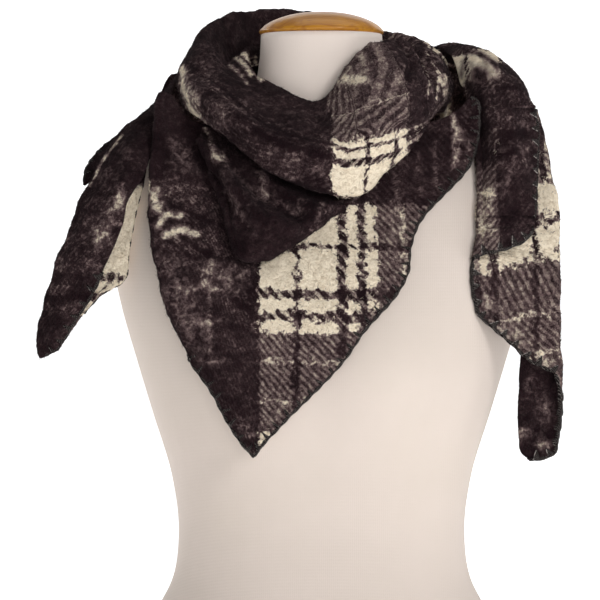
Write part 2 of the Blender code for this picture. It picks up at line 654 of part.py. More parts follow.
def tail_row(z, count):
    """A level of the hanging end: three laps joined by two round turns, cut off at the hem."""
    tail = columns(TAIL_COLUMNS, TAIL)
    values = [float(smooth(z, tail["z"], tail[name])) for name in TAIL_COLUMNS[1:]]
    front_end, inner_fold, outer_fold, back_end, depth, swell, hem = values
    turn, steps = TAIL_TURN, 16
    half = np.linspace(0, math.pi, steps)
    reach = front_end - inner_fold - turn
    front = []
    for share in np.linspace(0.0, 1.0, steps):
        bulge = math.sin(math.pi * (1 - share) ** SWELL_SKEW) ** SWELL_POWER
        front.append((front_end - share * reach, depth - swell * bulge))
    first = [(inner_fold + turn - turn * math.sin(a), depth + turn - turn * math.cos(a)) for a in half]
    middle = [(x, depth + 2 * turn) for x in np.linspace(inner_fold + turn, outer_fold - turn, steps)]
    second = [(outer_fold - turn + turn * math.sin(a), depth + 3 * turn - turn * math.cos(a)) for a in half]
    back = [(x, depth + 4 * turn) for x in np.linspace(outer_fold - turn, back_end, steps)]
    laps = [front + first[: steps // 2], first[steps // 2 :] + middle + second[: steps // 2]]
    laps.append(second[steps // 2 :] + back)
    line = []
    for number, lap in enumerate(laps):
        lap = resample(np.array(lap), DRAWN)
        line.append(np.column_stack([number + np.linspace(0, 1, DRAWN), lap]))
    line = np.concatenate(line)
    at = np.linspace(hem, 3.0, 3 * DRAWN)
    x = np.interp(at, line[:, 0], line[:, 1])
    y = np.interp(at, line[:, 0], line[:, 2])
    bend = BEND_STEP * (1 + HEM_BEND * max(hem - 1, 0))
    return resample(np.stack([x, y, np.full(len(at), z)], axis=-1), count, bend)


def build_right_tail():
    """The end that hangs from the arch, its levels closer together where the hem crosses them."""
    heights = []
    for low, high in zip(TAIL[:-1], TAIL[1:]):
        step = TAIL_STEP if abs(low[-1] - high[-1]) < HEM_CHANGE else HEM_STEP
        count = max(1, round((high[0] - low[0]) / step))
        heights.extend(np.linspace(low[0], high[0], count, endpoint=False))
    heights.append(TAIL[-1][0])
    grid = np.array([tail_row(z, TAIL_ACROSS) for z in heights])
    cloth_wall("scarf_right_tail", laid_on_form(grid), turned=True)


def main():
    """Clears the scene and builds every piece."""
    for item in list(bpy.data.objects):
        bpy.data.objects.remove(item, do_unlink=True)
    build_form()
    build_cap()
    build_roll()
    build_lower()
    build_bib()
    build_swag()
    build_left_tail()
    build_left_behind()
    build_arch()
    build_right_tail()


main()
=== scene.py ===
"""A brushed wool triangle scarf, wound round the neck of a limbless dress form, as a Blender add-on.

Sizes in the tables are in millimetres, +Z up, the chest facing -Y. Left and right are as seen from
the front. Every stretch of cloth is a surface of two parameters, along its course and across it.
"""

import math

import bmesh
import bpy
import numpy as np
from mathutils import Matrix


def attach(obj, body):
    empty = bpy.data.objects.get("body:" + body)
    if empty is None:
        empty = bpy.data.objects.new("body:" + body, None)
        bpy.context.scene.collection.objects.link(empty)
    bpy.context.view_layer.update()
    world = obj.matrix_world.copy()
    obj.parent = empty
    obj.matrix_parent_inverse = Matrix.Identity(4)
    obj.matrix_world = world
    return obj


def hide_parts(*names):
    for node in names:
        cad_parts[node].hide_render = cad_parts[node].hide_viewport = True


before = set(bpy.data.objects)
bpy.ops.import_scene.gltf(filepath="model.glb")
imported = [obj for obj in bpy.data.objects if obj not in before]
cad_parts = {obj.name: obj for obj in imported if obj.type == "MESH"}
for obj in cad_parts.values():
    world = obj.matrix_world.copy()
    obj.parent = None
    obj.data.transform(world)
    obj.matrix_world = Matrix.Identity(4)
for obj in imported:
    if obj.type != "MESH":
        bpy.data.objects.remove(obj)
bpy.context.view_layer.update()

bl_info = {
    "name": "Triangle scarf on a dress form",
    "version": (1, 0, 0),
    "blender": (4, 5, 0),
    "location": "View3D > Sidebar > Scarf",
    "description": "Brushed wool plaid scarf with a blanket-stitched edge, on a jersey dress form",
    "category": "Add Mesh",
}

MM = 0.001
PIXEL = 0.88  # millimetres across one pixel of the picture, at the form's middle
CENTRE_PIXEL, BASE_PIXEL = 321.5, 750.0  # where the picture has the form's middle and its base
FRONT_DEPTH = 95.0  # how far before the form's middle the scarf's front is taken to lie
# Where other stretches hang: their distance as a share of the form's, and columns to the left
BIB_NEAR, LEFT_NEAR, ARCH_NEAR, TAIL_NEAR = (0.968, 0.7), (0.975,), (0.99,), (0.972, 0.5)
CAMERA_DISTANCE, CAMERA_HEIGHT, CAMERA_SIDE = 3.0, 0.396, -0.0189  # metres
CAMERA_REACH = 30.0
LENS, SENSOR = 204.5, 36.0

# ---------------------------------------------------------------- the forms that the solids have too
REST = 0.6  # the air between the cloth and what it lies on
CLOTH = 3.0
FOLD_TURN = 4.6  # radius of the cloth's middle where it folds back
HALF_TURN_POINTS = 25
ROUNDNESS = 2.35
BUST_HEIGHT, BUST_SIDE, BUST_RISE, BUST_SPREAD = 338.0, 64.0, 15.0, 60.0

# Radius and height of the neck cap's profile
CAP = (
    (46.0, 0.0), (52.5, 0.0), (53.6, 0.3), (54.4, 1.1), (54.8, 2.6), (54.5, 3.5), (53.4, 4.9),
    (50.0, 8.0), (46.0, 10.6), (41.0, 13.0), (35.5, 15.1), (29.0, 17.0), (22.0, 18.4), (15.0, 19.3),
    (7.0, 19.9),
)
CAP_GAP, CAP_CROWN = 0.3, 20.0

FORM_COLUMNS = ("z", "half_width", "front", "back")
FORM = (
    (0, 172.0, 106.0, 120.0),
    (60, 168.0, 110.0, 122.0),
    (120, 147.0, 104.0, 111.0),
    (150, 131.6, 97.0, 101.0),
    (191, 125.5, 92.0, 92.0),
    (240, 131.0, 96.0, 94.0),
    (300, 149.0, 106.0, 101.0),
    (343, 162.0, 112.0, 106.0),
    (396, 177.0, 111.0, 110.0),
    (440, 185.0, 100.0, 112.0),
    (480, 187.0, 84.0, 108.0),
    (505, 181.0, 73.0, 101.0),
    (525, 158.0, 66.0, 92.0),
    (545, 112.0, 60.0, 78.0),
    (562, 76.0, 55.0, 65.0),
    (580, 61.0, 53.0, 58.0),
    (604, 55.0, 52.0, 54.0),
    (629, 53.3, 52.0, 53.0),
)

# Each row of the roll is an angle round the neck, then radius and height of its lip, dip, crest,
# fullest point and lower fold
ROLL = (
    (-255, 66, 604, 80, 610, 98, 619, 116, 602, 115, 584),
    (-235, 66, 606, 80, 612, 97, 631, 118, 604, 116, 580),
    (-210, 66, 610, 80, 610, 98, 640, 120, 606, 118, 578),
    (-180, 66, 614, 82, 606, 101, 655, 121, 608, 119, 578),
    (-150, 66, 618, 84, 606, 103, 658, 122, 608, 119, 576),
    (-125, 66, 620, 84, 606, 98, 652, 121, 604, 118, 570),
    (-105, 66, 618, 84, 605, 100, 641, 122, 600, 118, 564),
    (-90, 66, 612, 84, 603, 104, 627, 123, 596, 119, 561),
    (-75, 66, 600, 84, 598, 104, 609, 126, 586, 122, 560),
    (-60, 66, 589, 82, 589, 102, 590, 129, 572, 125, 555),
    (-45, 66, 584, 78, 584, 94, 577, 128, 558, 125, 539),
    (-30, 64, 575, 74, 575, 90, 565, 124, 542, 120, 516),
    (-15, 62, 568, 72, 568, 90, 556, 121, 527, 116, 498),
    (0, 61, 566, 71, 566, 88, 553, 119, 519, 113, 489),
    (12, 62, 578, 71, 583, 85, 574, 119, 518, 112, 483),
    (20, 63, 590, 73, 601, 87, 592, 120, 528, 112, 490),
    (30, 65, 597, 77, 614, 93, 604, 121, 544, 112, 505),
    (42, 66, 600, 83, 618, 99, 607, 121, 562, 113, 526),
    (50, 67, 598, 86, 617, 101, 606, 120, 571, 114, 541),
    (57, 68, 594, 85, 605, 97, 597, 117, 577, 115, 552),
    (64, 70, 597, 89, 613, 105, 606, 118, 586, 115, 561),
    (75, 72, 600, 91, 616, 106, 606, 115, 589, 112, 570),
    (88, 74, 596, 92, 608, 104, 599, 113, 584, 111, 568),
    (98, 76, 590, 90, 600, 102, 592, 112, 578, 110, 562),
)
ROLL_PART_ANGLE, ROLL_PART_RADIUS, ROLL_PART_GAP = -118, 120.0, 0.5
ROLL_POINTS, ROLL_TURN_POINTS = 86, 17
ROLL_TUCK = 3.0
LIP_TUCK = (-1.0, -8.0)
# Places on the weave's warp by the angle round the neck, and on its weft by the way up from the fold
ROLL_WARP = (
    (-255, -150), (-200, -60), (-118, -20), (-60, -10), (4, 52), (31, 121.5), (33.5, 129.2),
    (37.5, 138.6), (44, 142), (98, 142.5),
)
ROLL_WEFT = (
    (-40, 50), (0, 91.5), (23.5, 121), (29.5, 129.2), (37, 138.6), (40, 145.8), (44.7, 155.4),
    (74, 175.5), (75, 182), (110, 190), (260, 194),
)
ROLL_LOWEST = (12.0, 483.0)  # the angle where its fold is lowest, and the height there
ROLL_RISE = 0.65  # how much of the fold's rise past there the weft follows
# The cream side of the roll's crest shows none of its dark lines: from how far above the fold and
# over which places of the warp, and the place that the warp is drawn towards, by what share
CREST_FROM, CREST_OVER, CREST_MIDDLE, CREST_HALF = 48.0, 8.0, 108.0, 30.0
CREST_CREAM, CREST_SHARE = 105.0, 0.75
ROLL_SHADE_ANGLE, ROLL_SHADE_OVER, ROLL_SHADE = 44.0, 8.0, 0.9  # its right side is dark
ROLL_MARKS_DEPTH, ROLL_SPARED = 60.0, 0.3  # how far back its marks reach; paler ones stay pale

# The band across the back, in rows as the roll's: an angle, then radius and height of four points
LOWER = (
    (99, 78, 590, 90, 598, 104, 588, 112, 566),
    (112, 78, 588, 90, 588, 104, 570, 116, 546),
    (140, 84, 590, 93, 584, 104, 560, 117, 526),
    (170, 86, 590, 95, 584, 105, 558, 119, 520),
    (200, 94, 578, 103, 574, 112, 554, 121, 522),
    (222, 110, 564, 120, 564, 133, 549, 143, 524),
    (238, 124, 574, 136, 580, 149, 563, 158, 538),
    (250, 128, 588, 140, 597, 153, 578, 163, 550),
)

BIB_COLUMNS = ("z", "left", "right", "hang", "turned", "left_off", "right_off")
BIB = (
    (265, -63.0, -57.0, 133.5, 0, 0, 0),
    (273, -70.0, -52.0, 133.5, 0, 1, 0),
    (292, -83.0, -34.5, 133.5, 0, 3, 1),
    (324, -100.0, -2.5, 133.0, 1, 5, 1),
    (345, -112.0, 17.0, 132.0, 4, 8, 0),
    (370, -123.0, 34.5, 130.0, 12, 12, 0),
    (404, -137.0, 64.0, 122.0, 30, 14, 0),
    (420, -140.0, 72.0, 116.0, 36, 15, 0),
    (440, -143.0, 74.0, 107.0, 40, 16, 0),
    (468, -147.0, 86.0, 94.0, 42, 16, 0),
    (490, -147.0, 108.0, 84.0, 40, 14, 0),
    (505, -144.0, 127.0, 77.0, 36, 11, 1),
    (518, -142.0, 134.0, 71.0, 30, 8, 5),
    (528, -139.0, 135.0, 66.0, 24, 6, 9),
    (538, -134.0, 134.0, 61.0, 18, 5, 12),
    (546, -128.0, 128.0, 58.0, 12, 4, 13),
)
BIB_LIFTED_FROM = 480.0
BIB_CORNER_RISE, BIB_CORNER_POWERS = 24.0, (12, 7)
BIB_OFF_POWERS = (3, 6)
BIB_SPREAD = 225.0
BIB_HEM_START = 0.30  # how far up its left edge the stitches start to show

SWAG_COLUMNS = ("top_x", "top_z", "low_x", "low_z", "slack")
SWAG = (
    (-103, 546, -107, 534, 1),
    (-99, 546, -104, 526, 2),
    (-90, 542, -97, 511, 5),
    (-78, 535, -85, 481, 10),
    (-64, 526, -79, 451, 14),
    (-48, 516, -66, 430, 15),
    (-34, 507, -48, 430, 13),
    (-20, 500, -31, 439, 11),
    (-6, 491, -12, 452, 9),
    (8, 486, 7, 466, 5),
    (19, 486, 19, 474, 1),
)
SWAG_TOP_LIFT, SWAG_LIFT, SWAG_TUCK = 5.5, 14.5, 10.0
SWAG_TUCK_SHARE, SWAG_SLACK_POWER = 0.25, 1.3

# The left tail's front edge, outer fold and back edge as points, and how far its front bulges
LEFT = (
    (-128, 43.5, 598, -151, 51, 556, -141, 44.5, 550, 1),
    (-133, 12, 577, -156, 18, 557, -142, 10, 550, 2),
    (-136, -18, 562, -164, -12, 550, -146, -18, 545, 3),
    (-140, -46, 545, -176, -34, 538, -150, -42, 534, 5),
    (-147, -66, 524, -186, -50, 522, -152, -54, 518, 7),
    (-155, -79, 501, -198, -60, 499, -154, -60, 499, 8),
    (-167, -84, 481, -208, -65, 479, -158, -63, 483, 8),
    (-172, -87, 459, -218, -67, 452, -163, -65, 460, 8),
    (-179, -88, 441, -228, -68, 426, -167, -66, 436, 7),
    (-187, -86, 424, -236, -68, 399, -170, -65, 414, 5),
    (-199, -82, 398, -242, -67, 374, -191, -65, 400, 4),
    (-214, -77, 376, -245, -66, 357, -211, -64, 377, 3),
    (-228, -71, 354, -241, -65, 347, -227, -62, 354, 1),
)

# The inner and the stitched edge of what shows behind the left tail
BEHIND = (
    (-150, 42, 551.6, -168, 48, 547),
    (-154, 21, 550, -182, 26, 539),
    (-162, 2, 541, -196, 4, 526),
    (-172, -12, 530, -206, -10, 510),
    (-180, -22, 514, -207, -20, 497),
)
BEHIND_RISE, BEHIND_SHADE = 3.0, -0.3

# Four points across the arch over the right shoulder, from the neck outwards
ARCH = (
    (16, 113, 568, 16, 114, 565, 17, 116, 560, 17, 117, 554),
    (42, 112, 567, 44, 115, 563, 47, 118, 554, 50, 120, 542),
    (78, 99, 575, 84, 106, 576, 90, 114, 564, 96, 118, 541),
    (93, 80, 616, 104, 84, 621, 121, 97, 590, 132, 104, 547),
    (106, 50, 621, 117, 54, 625, 143, 66, 600, 158, 72, 554),
    (115, 22, 614, 127, 24, 620, 157, 32, 600, 177, 38, 556),
    (119, -6, 602, 134, -6, 614, 166, -2, 599, 185, 4, 560),
    (121, -26, 586, 138, -32, 603, 167, -30, 592, 185, -18, 562),
    (126, -40, 573, 141, -53, 586, 167, -58, 580, 184, -42, 564),
    (131, -46, 563, 143, -60, 563, 166, -67, 563, 184, -54, 563),
)

TAIL_COLUMNS = ("z", "front_end", "inner_fold", "outer_fold", "back_end", "depth", "swell", "hem")
TAIL = (
    (259.5, 196, 150, 200, 178, -94, 0, 2.86),
    (264, 197, 148, 202, 173, -94, 0, 2.52),
    (277, 198, 146, 203, 170, -95, 0, 2.26),
    (290, 200, 143, 204, 169, -96, 0, 2.10),
    (307, 200, 140, 204, 169, -96, 0, 2.02),
    (321, 200, 136, 204, 170, -97, 0, 1.90),
    (332, 200, 134, 204, 170, -97, 0, 1.77),
    (343, 200, 132, 204, 171, -97, 0, 1.60),
    (359, 200, 130, 203, 172, -96, 0, 1.47),
    (371, 200, 129, 203, 172, -96, 0, 1.37),
    (383, 200, 128, 203, 172, -95, 0, 1.27),
    (400, 198, 127, 203, 172, -94, 1, 1.12),
    (420, 190, 128, 203, 172, -92, 2, 1.02),
    (431, 184, 129, 203, 172, -90, 3, 0.97),
    (434, 182, 130, 203, 172, -89, 4, 0.75),
    (438, 181, 131, 203, 171, -88, 5, 0.42),
    (444, 180, 132, 203, 170, -87, 6, 0.16),
    (453, 180, 133, 203, 168, -84, 8, 0.03),
    (475, 182, 134, 202, 166, -77, 12, 0.0),
    (500, 184, 134, 199, 164, -67, 16, 0.0),
    (525, 186, 133, 195, 162, -57, 19, 0.0),
    (545, 186, 131, 190, 160, -50, 20, 0.0),
    (561.2, 184, 129, 186, 158, -46, 21, 0.0),
)
TAIL_TURN = 5.0
FRONT_BARE = 0.04  # where its front lap is marked less than this, it shows no cream
SWELL_SKEW, SWELL_POWER = 0.8, 1.2
LAP_POINTS, LAP_STEPS, LAP_END = 80, 32, 0.97
LAP_SPACING = (12.0, math.radians(36))
HEM_STEEP, ROW_STEPS = 0.06, (3.0, 1.2)  # rows lie closer where the hem runs nearly level

# The plaid from the middle of its black stripe to the middle of its grey one: where each stripe
# ends, in millimetres, and how much cream yarn it has, from 0 to 1
SETT = (
    (1.6, 0.15), (52.0, 0.0), (84.6, 1.0), (89.2, 0.0), (121.0, 1.0), (129.2, 0.0), (138.6, 0.96),
    (145.8, 0.0), (155.4, 0.94), (176.7, 0.18), (180.8, 0.52), (194.2, 0.16),
)
SETT_HALF = SETT[-1][0]
SETT_BLUR = 1.3
THIN_STRIPE = 9.0

# Loose hairs: how deep they root, their lean in degrees, their length as a share of the mean one,
# how thick they are, and how far their colour is drawn from beside them and darkened
HAIR_ROOT, HAIR_LEAN, HAIR_REACH, HAIR_GIRTH = 0.35, (4, 30), (0.6, 1.35), (0.17, 0.30)
HAIR_FROM, HAIR_DARKER = 1.6, 0.08
TUFT_DEPTH = 0.38
RIM_TURNS, RIM_REACH = (45.0, 90.0, 135.0), 0.8  # the round edge of a wall of cloth

# Ripples of the cloth: the seed of each, its wavelength and its depth
RIPPLE_WAVES, RIPPLE_SPREAD = 9, (0.7, 1.5)
ROLL_RIPPLES, LOWER_RIPPLES = ((4, 34.0, 0.9), (5, 13.0, 0.3)), ((8, 30.0, 0.5),)
BIB_RIPPLES, SWAG_RIPPLES = ((11, 40.0, 0.8), (12, 14.0, 0.25)), ((15, 22.0, 0.7),)
LEFT_RIPPLES, ARCH_RIPPLES, TAIL_RIPPLES = ((21, 26.0, 0.7),), ((25, 28.0, 0.8),), ((31, 30.0, 0.7),)

# Each stretch of cloth: the node that it stands for, its loose hairs, what it lies on, how it is held
PIECES = {
    "scarf_neck_roll_cloth": ("scarf_neck_roll", 23000, "form_body", "draped"),
    "scarf_back_upper_cloth": ("scarf_back_upper", 6000, "form_body", "draped"),
    "scarf_back_lower_cloth": ("scarf_back_lower", 5000, "form_body", "draped"),
    "scarf_bib_cloth": ("scarf_bib", 23000, "form_body", "hung"),
    "scarf_middle_cloth": ("scarf_middle_fold", 10000, "scarf_bib_cloth", "draped"),
    "scarf_left_cloth": ("scarf_left_tail", 14000, "form_body", "hung"),
    "scarf_behind_cloth": ("scarf_left_behind", 2200, "form_body", "draped"),
    "scarf_shoulder_cloth": ("scarf_right_shoulder", 10000, "form_body", "draped"),
    "scarf_right_cloth": ("scarf_right_tail", 16000, "form_body", "hung"),
}

# The hems' yarn: its radius with and without stitches, how that swells at each stitch and between
CORD_RADIUS, BARE_CORD_RADIUS, CORD_SWELL, CORD_UNEVEN = 1.55, 0.75, 0.35, 0.16
CORD_STEP, CORD_SINK, CORD_FLAT = 1.5, 0.4, 1.15
STRAND_SIDES, STITCH_RINGS = 8, 6
# Blanket stitches: how far along a pitch the first is, how they lean and reach, how far over the
# edge they start, their half-width at the tip, how high they stand, and how they narrow
STITCH_FIRST, STITCH_LEAN, STITCH_REACH, STITCH_OVER = 0.4, 2.2, (0.85, 1.15), 0.6
STITCH_TIP, STITCH_HIGH, STITCH_NARROWS = 0.35, 0.9, 0.8
STITCH_TURN = 0.6  # where the cloth's normals on both sides of one agree less there is none
# Painted highlights: a thin pale strand on each wide stitch's flank, its radius, how far out and up it lies,
# and from which root half-width
GLINT_STRAND, GLINT_OUT, GLINT_UP, GLINT_FROM = 0.38, 0.85, 0.55, 2.0
# painted light: the neck's jersey is painted paler over these heights
NECK_LIT_HEIGHTS = (0.52, 0.60)  # over which heights, in metres, the jersey of the neck gets paler
# Half the width of a blanket stitch at its root, on the cloth's two faces. None has no stitches.
STITCH_GIRTHS = {
    "scarf_bib_stitches": (1.5, 1.5),
    "scarf_left_stitches": (2.0, 2.0),
    "scarf_left_back_stitches": None,
    "scarf_behind_stitches": (1.2, 2.7),
    "scarf_right_stitches": (3.0, 3.0),
}

# Creases: a path in picture pixels, how far the cloth rises or falls there, and how wide it is
ROLL_CREASES = (
    (((402, 40), (410, 50), (413, 62), (408, 78)), -4.5, 4.5),
    (((232, 100), (262, 120), (300, 135), (326, 138)), -1.6, 7.0),
    (((205, 90), (228, 116), (262, 144), (300, 160)), 1.8, 8.0),
    (((335, 120), (360, 112), (385, 100), (402, 84)), -1.4, 6.0),
    (((340, 160), (366, 146), (392, 128)), -1.2, 5.0),
    (((414, 60), (424, 80), (420, 104), (408, 124)), -1.5, 5.0),
    (((430, 62), (438, 84), (430, 106)), 1.2, 5.0),
)
BIB_CREASES = (
    (((262, 262), (285, 252), (310, 238)), -2.0, 9.0),
    (((165, 205), (185, 250), (206, 300)), 1.8, 12.0),
    (((160, 245), (176, 290), (200, 345)), -1.4, 9.0),
    (((372, 190), (405, 165), (440, 130)), 1.6, 10.0),
    (((352, 230), (372, 200), (396, 176)), -1.4, 8.0),
)
SWAG_CREASES = (
    (((205, 128), (226, 160), (262, 196), (300, 216)), -5.0, 6.5),
    (((212, 146), (232, 186), (262, 220), (292, 232)), 4.5, 6.0),
    (((250, 160), (280, 190), (315, 210)), 3.0, 6.0),
    (((216, 176), (234, 212), (256, 240)), -4.0, 6.0),
)
LEFT_CREASES = (
    (((118, 160), (100, 200), (82, 250)), -2.0, 8.0),
    (((130, 160), (118, 205), (100, 250)), 1.4, 7.0),
    (((92, 200), (72, 250), (56, 300)), 1.2, 8.0),
)
ARCH_CREASES = (
    (((440, 76), (462, 84), (486, 82), (500, 76)), -2.6, 5.0),
    (((456, 62), (466, 74), (470, 88)), -1.6, 4.0),
    (((484, 58), (490, 70), (488, 82)), -1.4, 4.0),
    (((452, 60), (475, 58), (500, 66)), 1.2, 6.0),
    (((505, 80), (520, 105), (528, 140)), -1.0, 8.0),
)
TAIL_CREASES = (
    (((482, 125), (500, 165), (518, 215)), -2.0, 8.0),
    (((510, 120), (520, 160), (528, 210)), 1.2, 7.0),
    (((500, 300), (520, 345), (535, 400)), -1.0, 9.0),
)

# Light or dark lines on the cloth, some of them its pattern and some painted highlights and painted shadows:
# a path in picture pixels, half its width, and how much paler
ROLL_STREAKS = (
    # painted highlight: the bright rim of pile along the roll's left edge
    (((180, 62), (182, 84), (190, 104), (202, 122)), 2.8, 0.60),
    # painted shadow in the crease of the right lump
    (((402, 38), (410, 48), (413, 62), (407, 78)), 2.6, -1.7),
    # painted highlight: a wider glow beside the left rim
    (((184, 64), (190, 90), (204, 118), (218, 136)), 5.0, 0.22),
    (((234, 50), (243, 60), (250, 72)), 2.6, 0.60),
    (((242, 47), (252, 58), (258, 74)), 2.6, 0.75),
    (((252, 48), (259, 60), (261, 78)), 2.6, 0.60),
    (((228, 60), (238, 70), (246, 82)), 2.6, 0.34),
    # painted highlights: light on the hair arcs of the outer turn and on both rims of the crease
    (((418, 50), (430, 72), (428, 98)), 2.4, 0.40),
    (((428, 48), (440, 72), (436, 98)), 2.4, 0.36),
    (((396, 52), (404, 66), (400, 84)), 2.2, 0.22),
    (((340, 84), (352, 66), (366, 54)), 3.0, 0.22),
    (((398, 136), (404, 150)), 4.0, 0.55),
)
BIB_STREAKS = (
    (((153, 190), (157, 208)), 5.5, 0.52),
    (((158, 226), (166, 215), (180, 216)), 3.6, 0.52),
    (((166, 236), (180, 230), (196, 234)), 4.6, 0.60),
    (((166, 138), (186, 160), (206, 186)), 9.0, 0.10),
    (((212, 262), (206, 284)), 4.0, 0.24),
    (((211, 286), (210, 352)), 2.6, 0.17),
    (((200, 362), (230, 360), (258, 361)), 2.4, 0.13),
    (((180, 323), (220, 321), (258, 323)), 3.2, 0.12),
    (((160, 262), (190, 264), (225, 276)), 6.0, 0.12),
    (((168, 292), (200, 288), (240, 292)), 5.0, 0.10),
    (((452, 100), (458, 132), (456, 166)), 4.0, 0.36),
    (((396, 168), (398, 212)), 3.0, 0.20),
    (((418, 150), (420, 196)), 3.0, 0.20),
    (((436, 138), (437, 184)), 3.0, 0.20),
)
SWAG_STREAKS = (
    # painted highlights: light along the slack fold's crests
    (((198, 112), (212, 140), (230, 168), (254, 190), (296, 214)), 6.0, 0.09),
    (((202, 118), (210, 142), (214, 156)), 2.6, 0.26),
    (((214, 158), (240, 182), (270, 204), (300, 216)), 5.0, 0.08),
    (((262, 170), (266, 200)), 4.0, 0.14),
    (((322, 206), (318, 222)), 4.0, 0.20),
    (((224, 176), (236, 208), (256, 236)), 5.0, 0.14),
)
LEFT_STREAKS = (
    # painted highlight: the bright rim of pile along the tail's upper edge
    (((120, 134), (104, 156), (88, 186)), 1.5, 0.40),
    (((122, 188), (114, 210)), 6.0, 0.26),
    (((106, 226), (96, 246)), 6.0, 0.24),
    (((92, 262), (76, 280), (66, 300)), 6.0, 0.16),
)
ARCH_STREAKS = (
    (((438, 44), (462, 42), (484, 48), (506, 66)), 4.0, -0.8),
    (((444, 48), (466, 50), (486, 56)), 2.6, 0.34),
    (((470, 50), (466, 72)), 2.4, -0.5),
    (((484, 50), (490, 62), (488, 76)), 3.0, -0.35),
    (((474, 56), (480, 66)), 2.6, -0.30),
    (((452, 56), (458, 72)), 3.0, -0.45),
    (((496, 60), (502, 72)), 2.6, -0.40),
    (((446, 66), (456, 84), (462, 112)), 6.0, 0.46),
    (((470, 74), (484, 78), (500, 72)), 3.0, 0.26),
    (((512, 84), (522, 100)), 5.0, 0.26),
    (((476, 104), (492, 112), (512, 108)), 3.4, 0.24),
    (((470, 128), (490, 138), (514, 134)), 3.4, 0.20),
)

# Marks on the cloth, some of them its pattern and some painted highlights and painted shadows: place,
# half-width and half-height in picture pixels, tilt, and how much paler
ROLL_MARKS = (
    (222, 110, 14, 22, 30, 0.16),
    (212, 60, 18, 22, 20, 0.14),
    (196, 96, 8, 20, -20, 0.16),
    (446, 84, 6, 24, 0, 0.42),
    (356, 80, 13, 5, -8, 0.72),
    (300, 120, 30, 20, 0, 0.08),
)
LOWER_MARKS = (
    (454, 84, 14, 30, 0, 0.9),
)
BIB_MARKS = (
    (404, 110, 60, 34, 20, -0.25),
    (172, 176, 14, 40, -20, 0.16),
    (180, 290, 16, 44, 20, 0.18),
    (232, 278, 24, 22, 0, 0.18),
    (200, 340, 20, 40, 20, 0.12),
    (395, 240, 12, 44, 0, 0.10),
    (462, 132, 8, 24, 20, 0.22),
)
SWAG_MARKS = (
    # painted highlights on the slack fold's crests, in the first four marks
    (219, 158, 6, 5, 20, 0.38),
    (262, 178, 30, 6, -38, 0.12),
    (250, 205, 16, 20, -30, 0.10),
    (300, 206, 14, 10, -30, 0.12),
    (236, 236, 14, 12, -30, -0.3),
)
LEFT_MARKS = (
    (60, 260, 20, 90, 18, -0.30),
    (126, 150, 14, 26, 20, 0.13),
    (104, 176, 16, 16, 20, 0.16),
    (88, 226, 12, 22, 20, 0.14),
    (118, 203, 8, 9, 10, 0.22),
    (104, 234, 9, 9, 20, 0.20),
    (80, 275, 9, 10, 20, 0.16),
)
ARCH_MARKS = (
    (470, 66, 30, 14, 0, -0.22),
    (506, 108, 20, 30, 0, 0.12),
    (514, 96, 9, 6, 20, 0.22),
    (500, 128, 14, 4, 20, 0.15),
    # painted shadow under the arch's fold
    (486, 98, 16, 10, 10, -0.6),
    (446, 80, 12, 32, -12, 0.95),
)
TAIL_MARKS = (
    (515, 310, 30, 40, 0, 0.04),
    (540, 425, 22, 34, 0, 0.10),
    (524, 434, 7, 6, 30, 0.30),
    (546, 446, 9, 5, 0, 0.26),
    (530, 384, 6, 14, 0, 0.18),
    (548, 408, 8, 12, 0, 0.18),
    (492, 306, 12, 8, -40, 0.24),
    (516, 334, 16, 8, -40, 0.22),
    (544, 360, 16, 8, -40, 0.22),
)
TAIL_FRONT_MARKS = (
    # painted shadows: the deep shade by the front lap's inner fold and in its groove
    (484, 146, 10, 30, 0, -0.9),
    (514, 206, 6, 24, -12, -0.7),
    (488, 196, 8, 22, 0, 0.34),
    (484, 232, 7, 14, 0, 0.26),
    (510, 234, 9, 7, 0, 0.34),
    (522, 122, 8, 4, 20, 0.22),
    (526, 150, 8, 5, 20, 0.20),
    (510, 172, 7, 10, 0, 0.20),
    (498, 150, 16, 5, 10, 0.22),
    (504, 186, 12, 4, 10, 0.20),
)

# Wefts: the row of the picture where the first cream stripe starts, and how far they are stretched
BIB_WEFT, LEFT_WEFT, SHOULDER_WEFT = (205.0, 0.92), (190.0, 0.95), (50.0, 1.0)
LEFT_WARP = (342.0, 150.0)  # from the front edge to the back one
# The bib's weft bends up to the left of a column of the picture, by so much at another one, and
# only from a row on, over so many rows
BIB_WEFT_TURN, BIB_WEFT_SIDE, BIB_WEFT_RISE, BIB_WEFT_POWER = 258.0, 180.0, 66.0, 1.35
BIB_WEFT_ROWS = (150.0, 120.0)
# The cream strip of the left tail's back lap: its rows, over how many it fades, and how cream it is
STRIP_TOP, STRIP_FOOT, STRIP_FADES, STRIP_CREAM = 182.0, 276.0, (8.0, 10.0), 0.9
# The arch's cream side ends in a torn line: under which row, right of which column, and over how many
TORN_ROW, TORN_COLUMN = (68.0, 14.0), (462.0, 8.0)
# Places on the weave by the column or the row of the picture where they are seen
BIB_WARP = (
    (120, -60), (150, -50), (203, -20), (230, 20), (258, 52), (337, 121.5), (345, 128.5), (400, 177.5),
    (480, 245),
)
SHOULDER_WARP = (
    (300, 200), (430, 132), (440, 121.5), (468, 86.9), (498, 52), (520, 26), (560, -16),
)
LAP_WARP, LAP_SLANT = (-121.5, 497.0, 1.05), 0.20  # a place, the column where it is, the stretch
LAP_WEFT = (
    (165, 125), (184, 129.2), (220, 138.6), (226, 145.8), (262, 155.4), (311, 176.7), (316, 180.8),
    (351, 207.6), (356, 211.7), (420, 230),
)

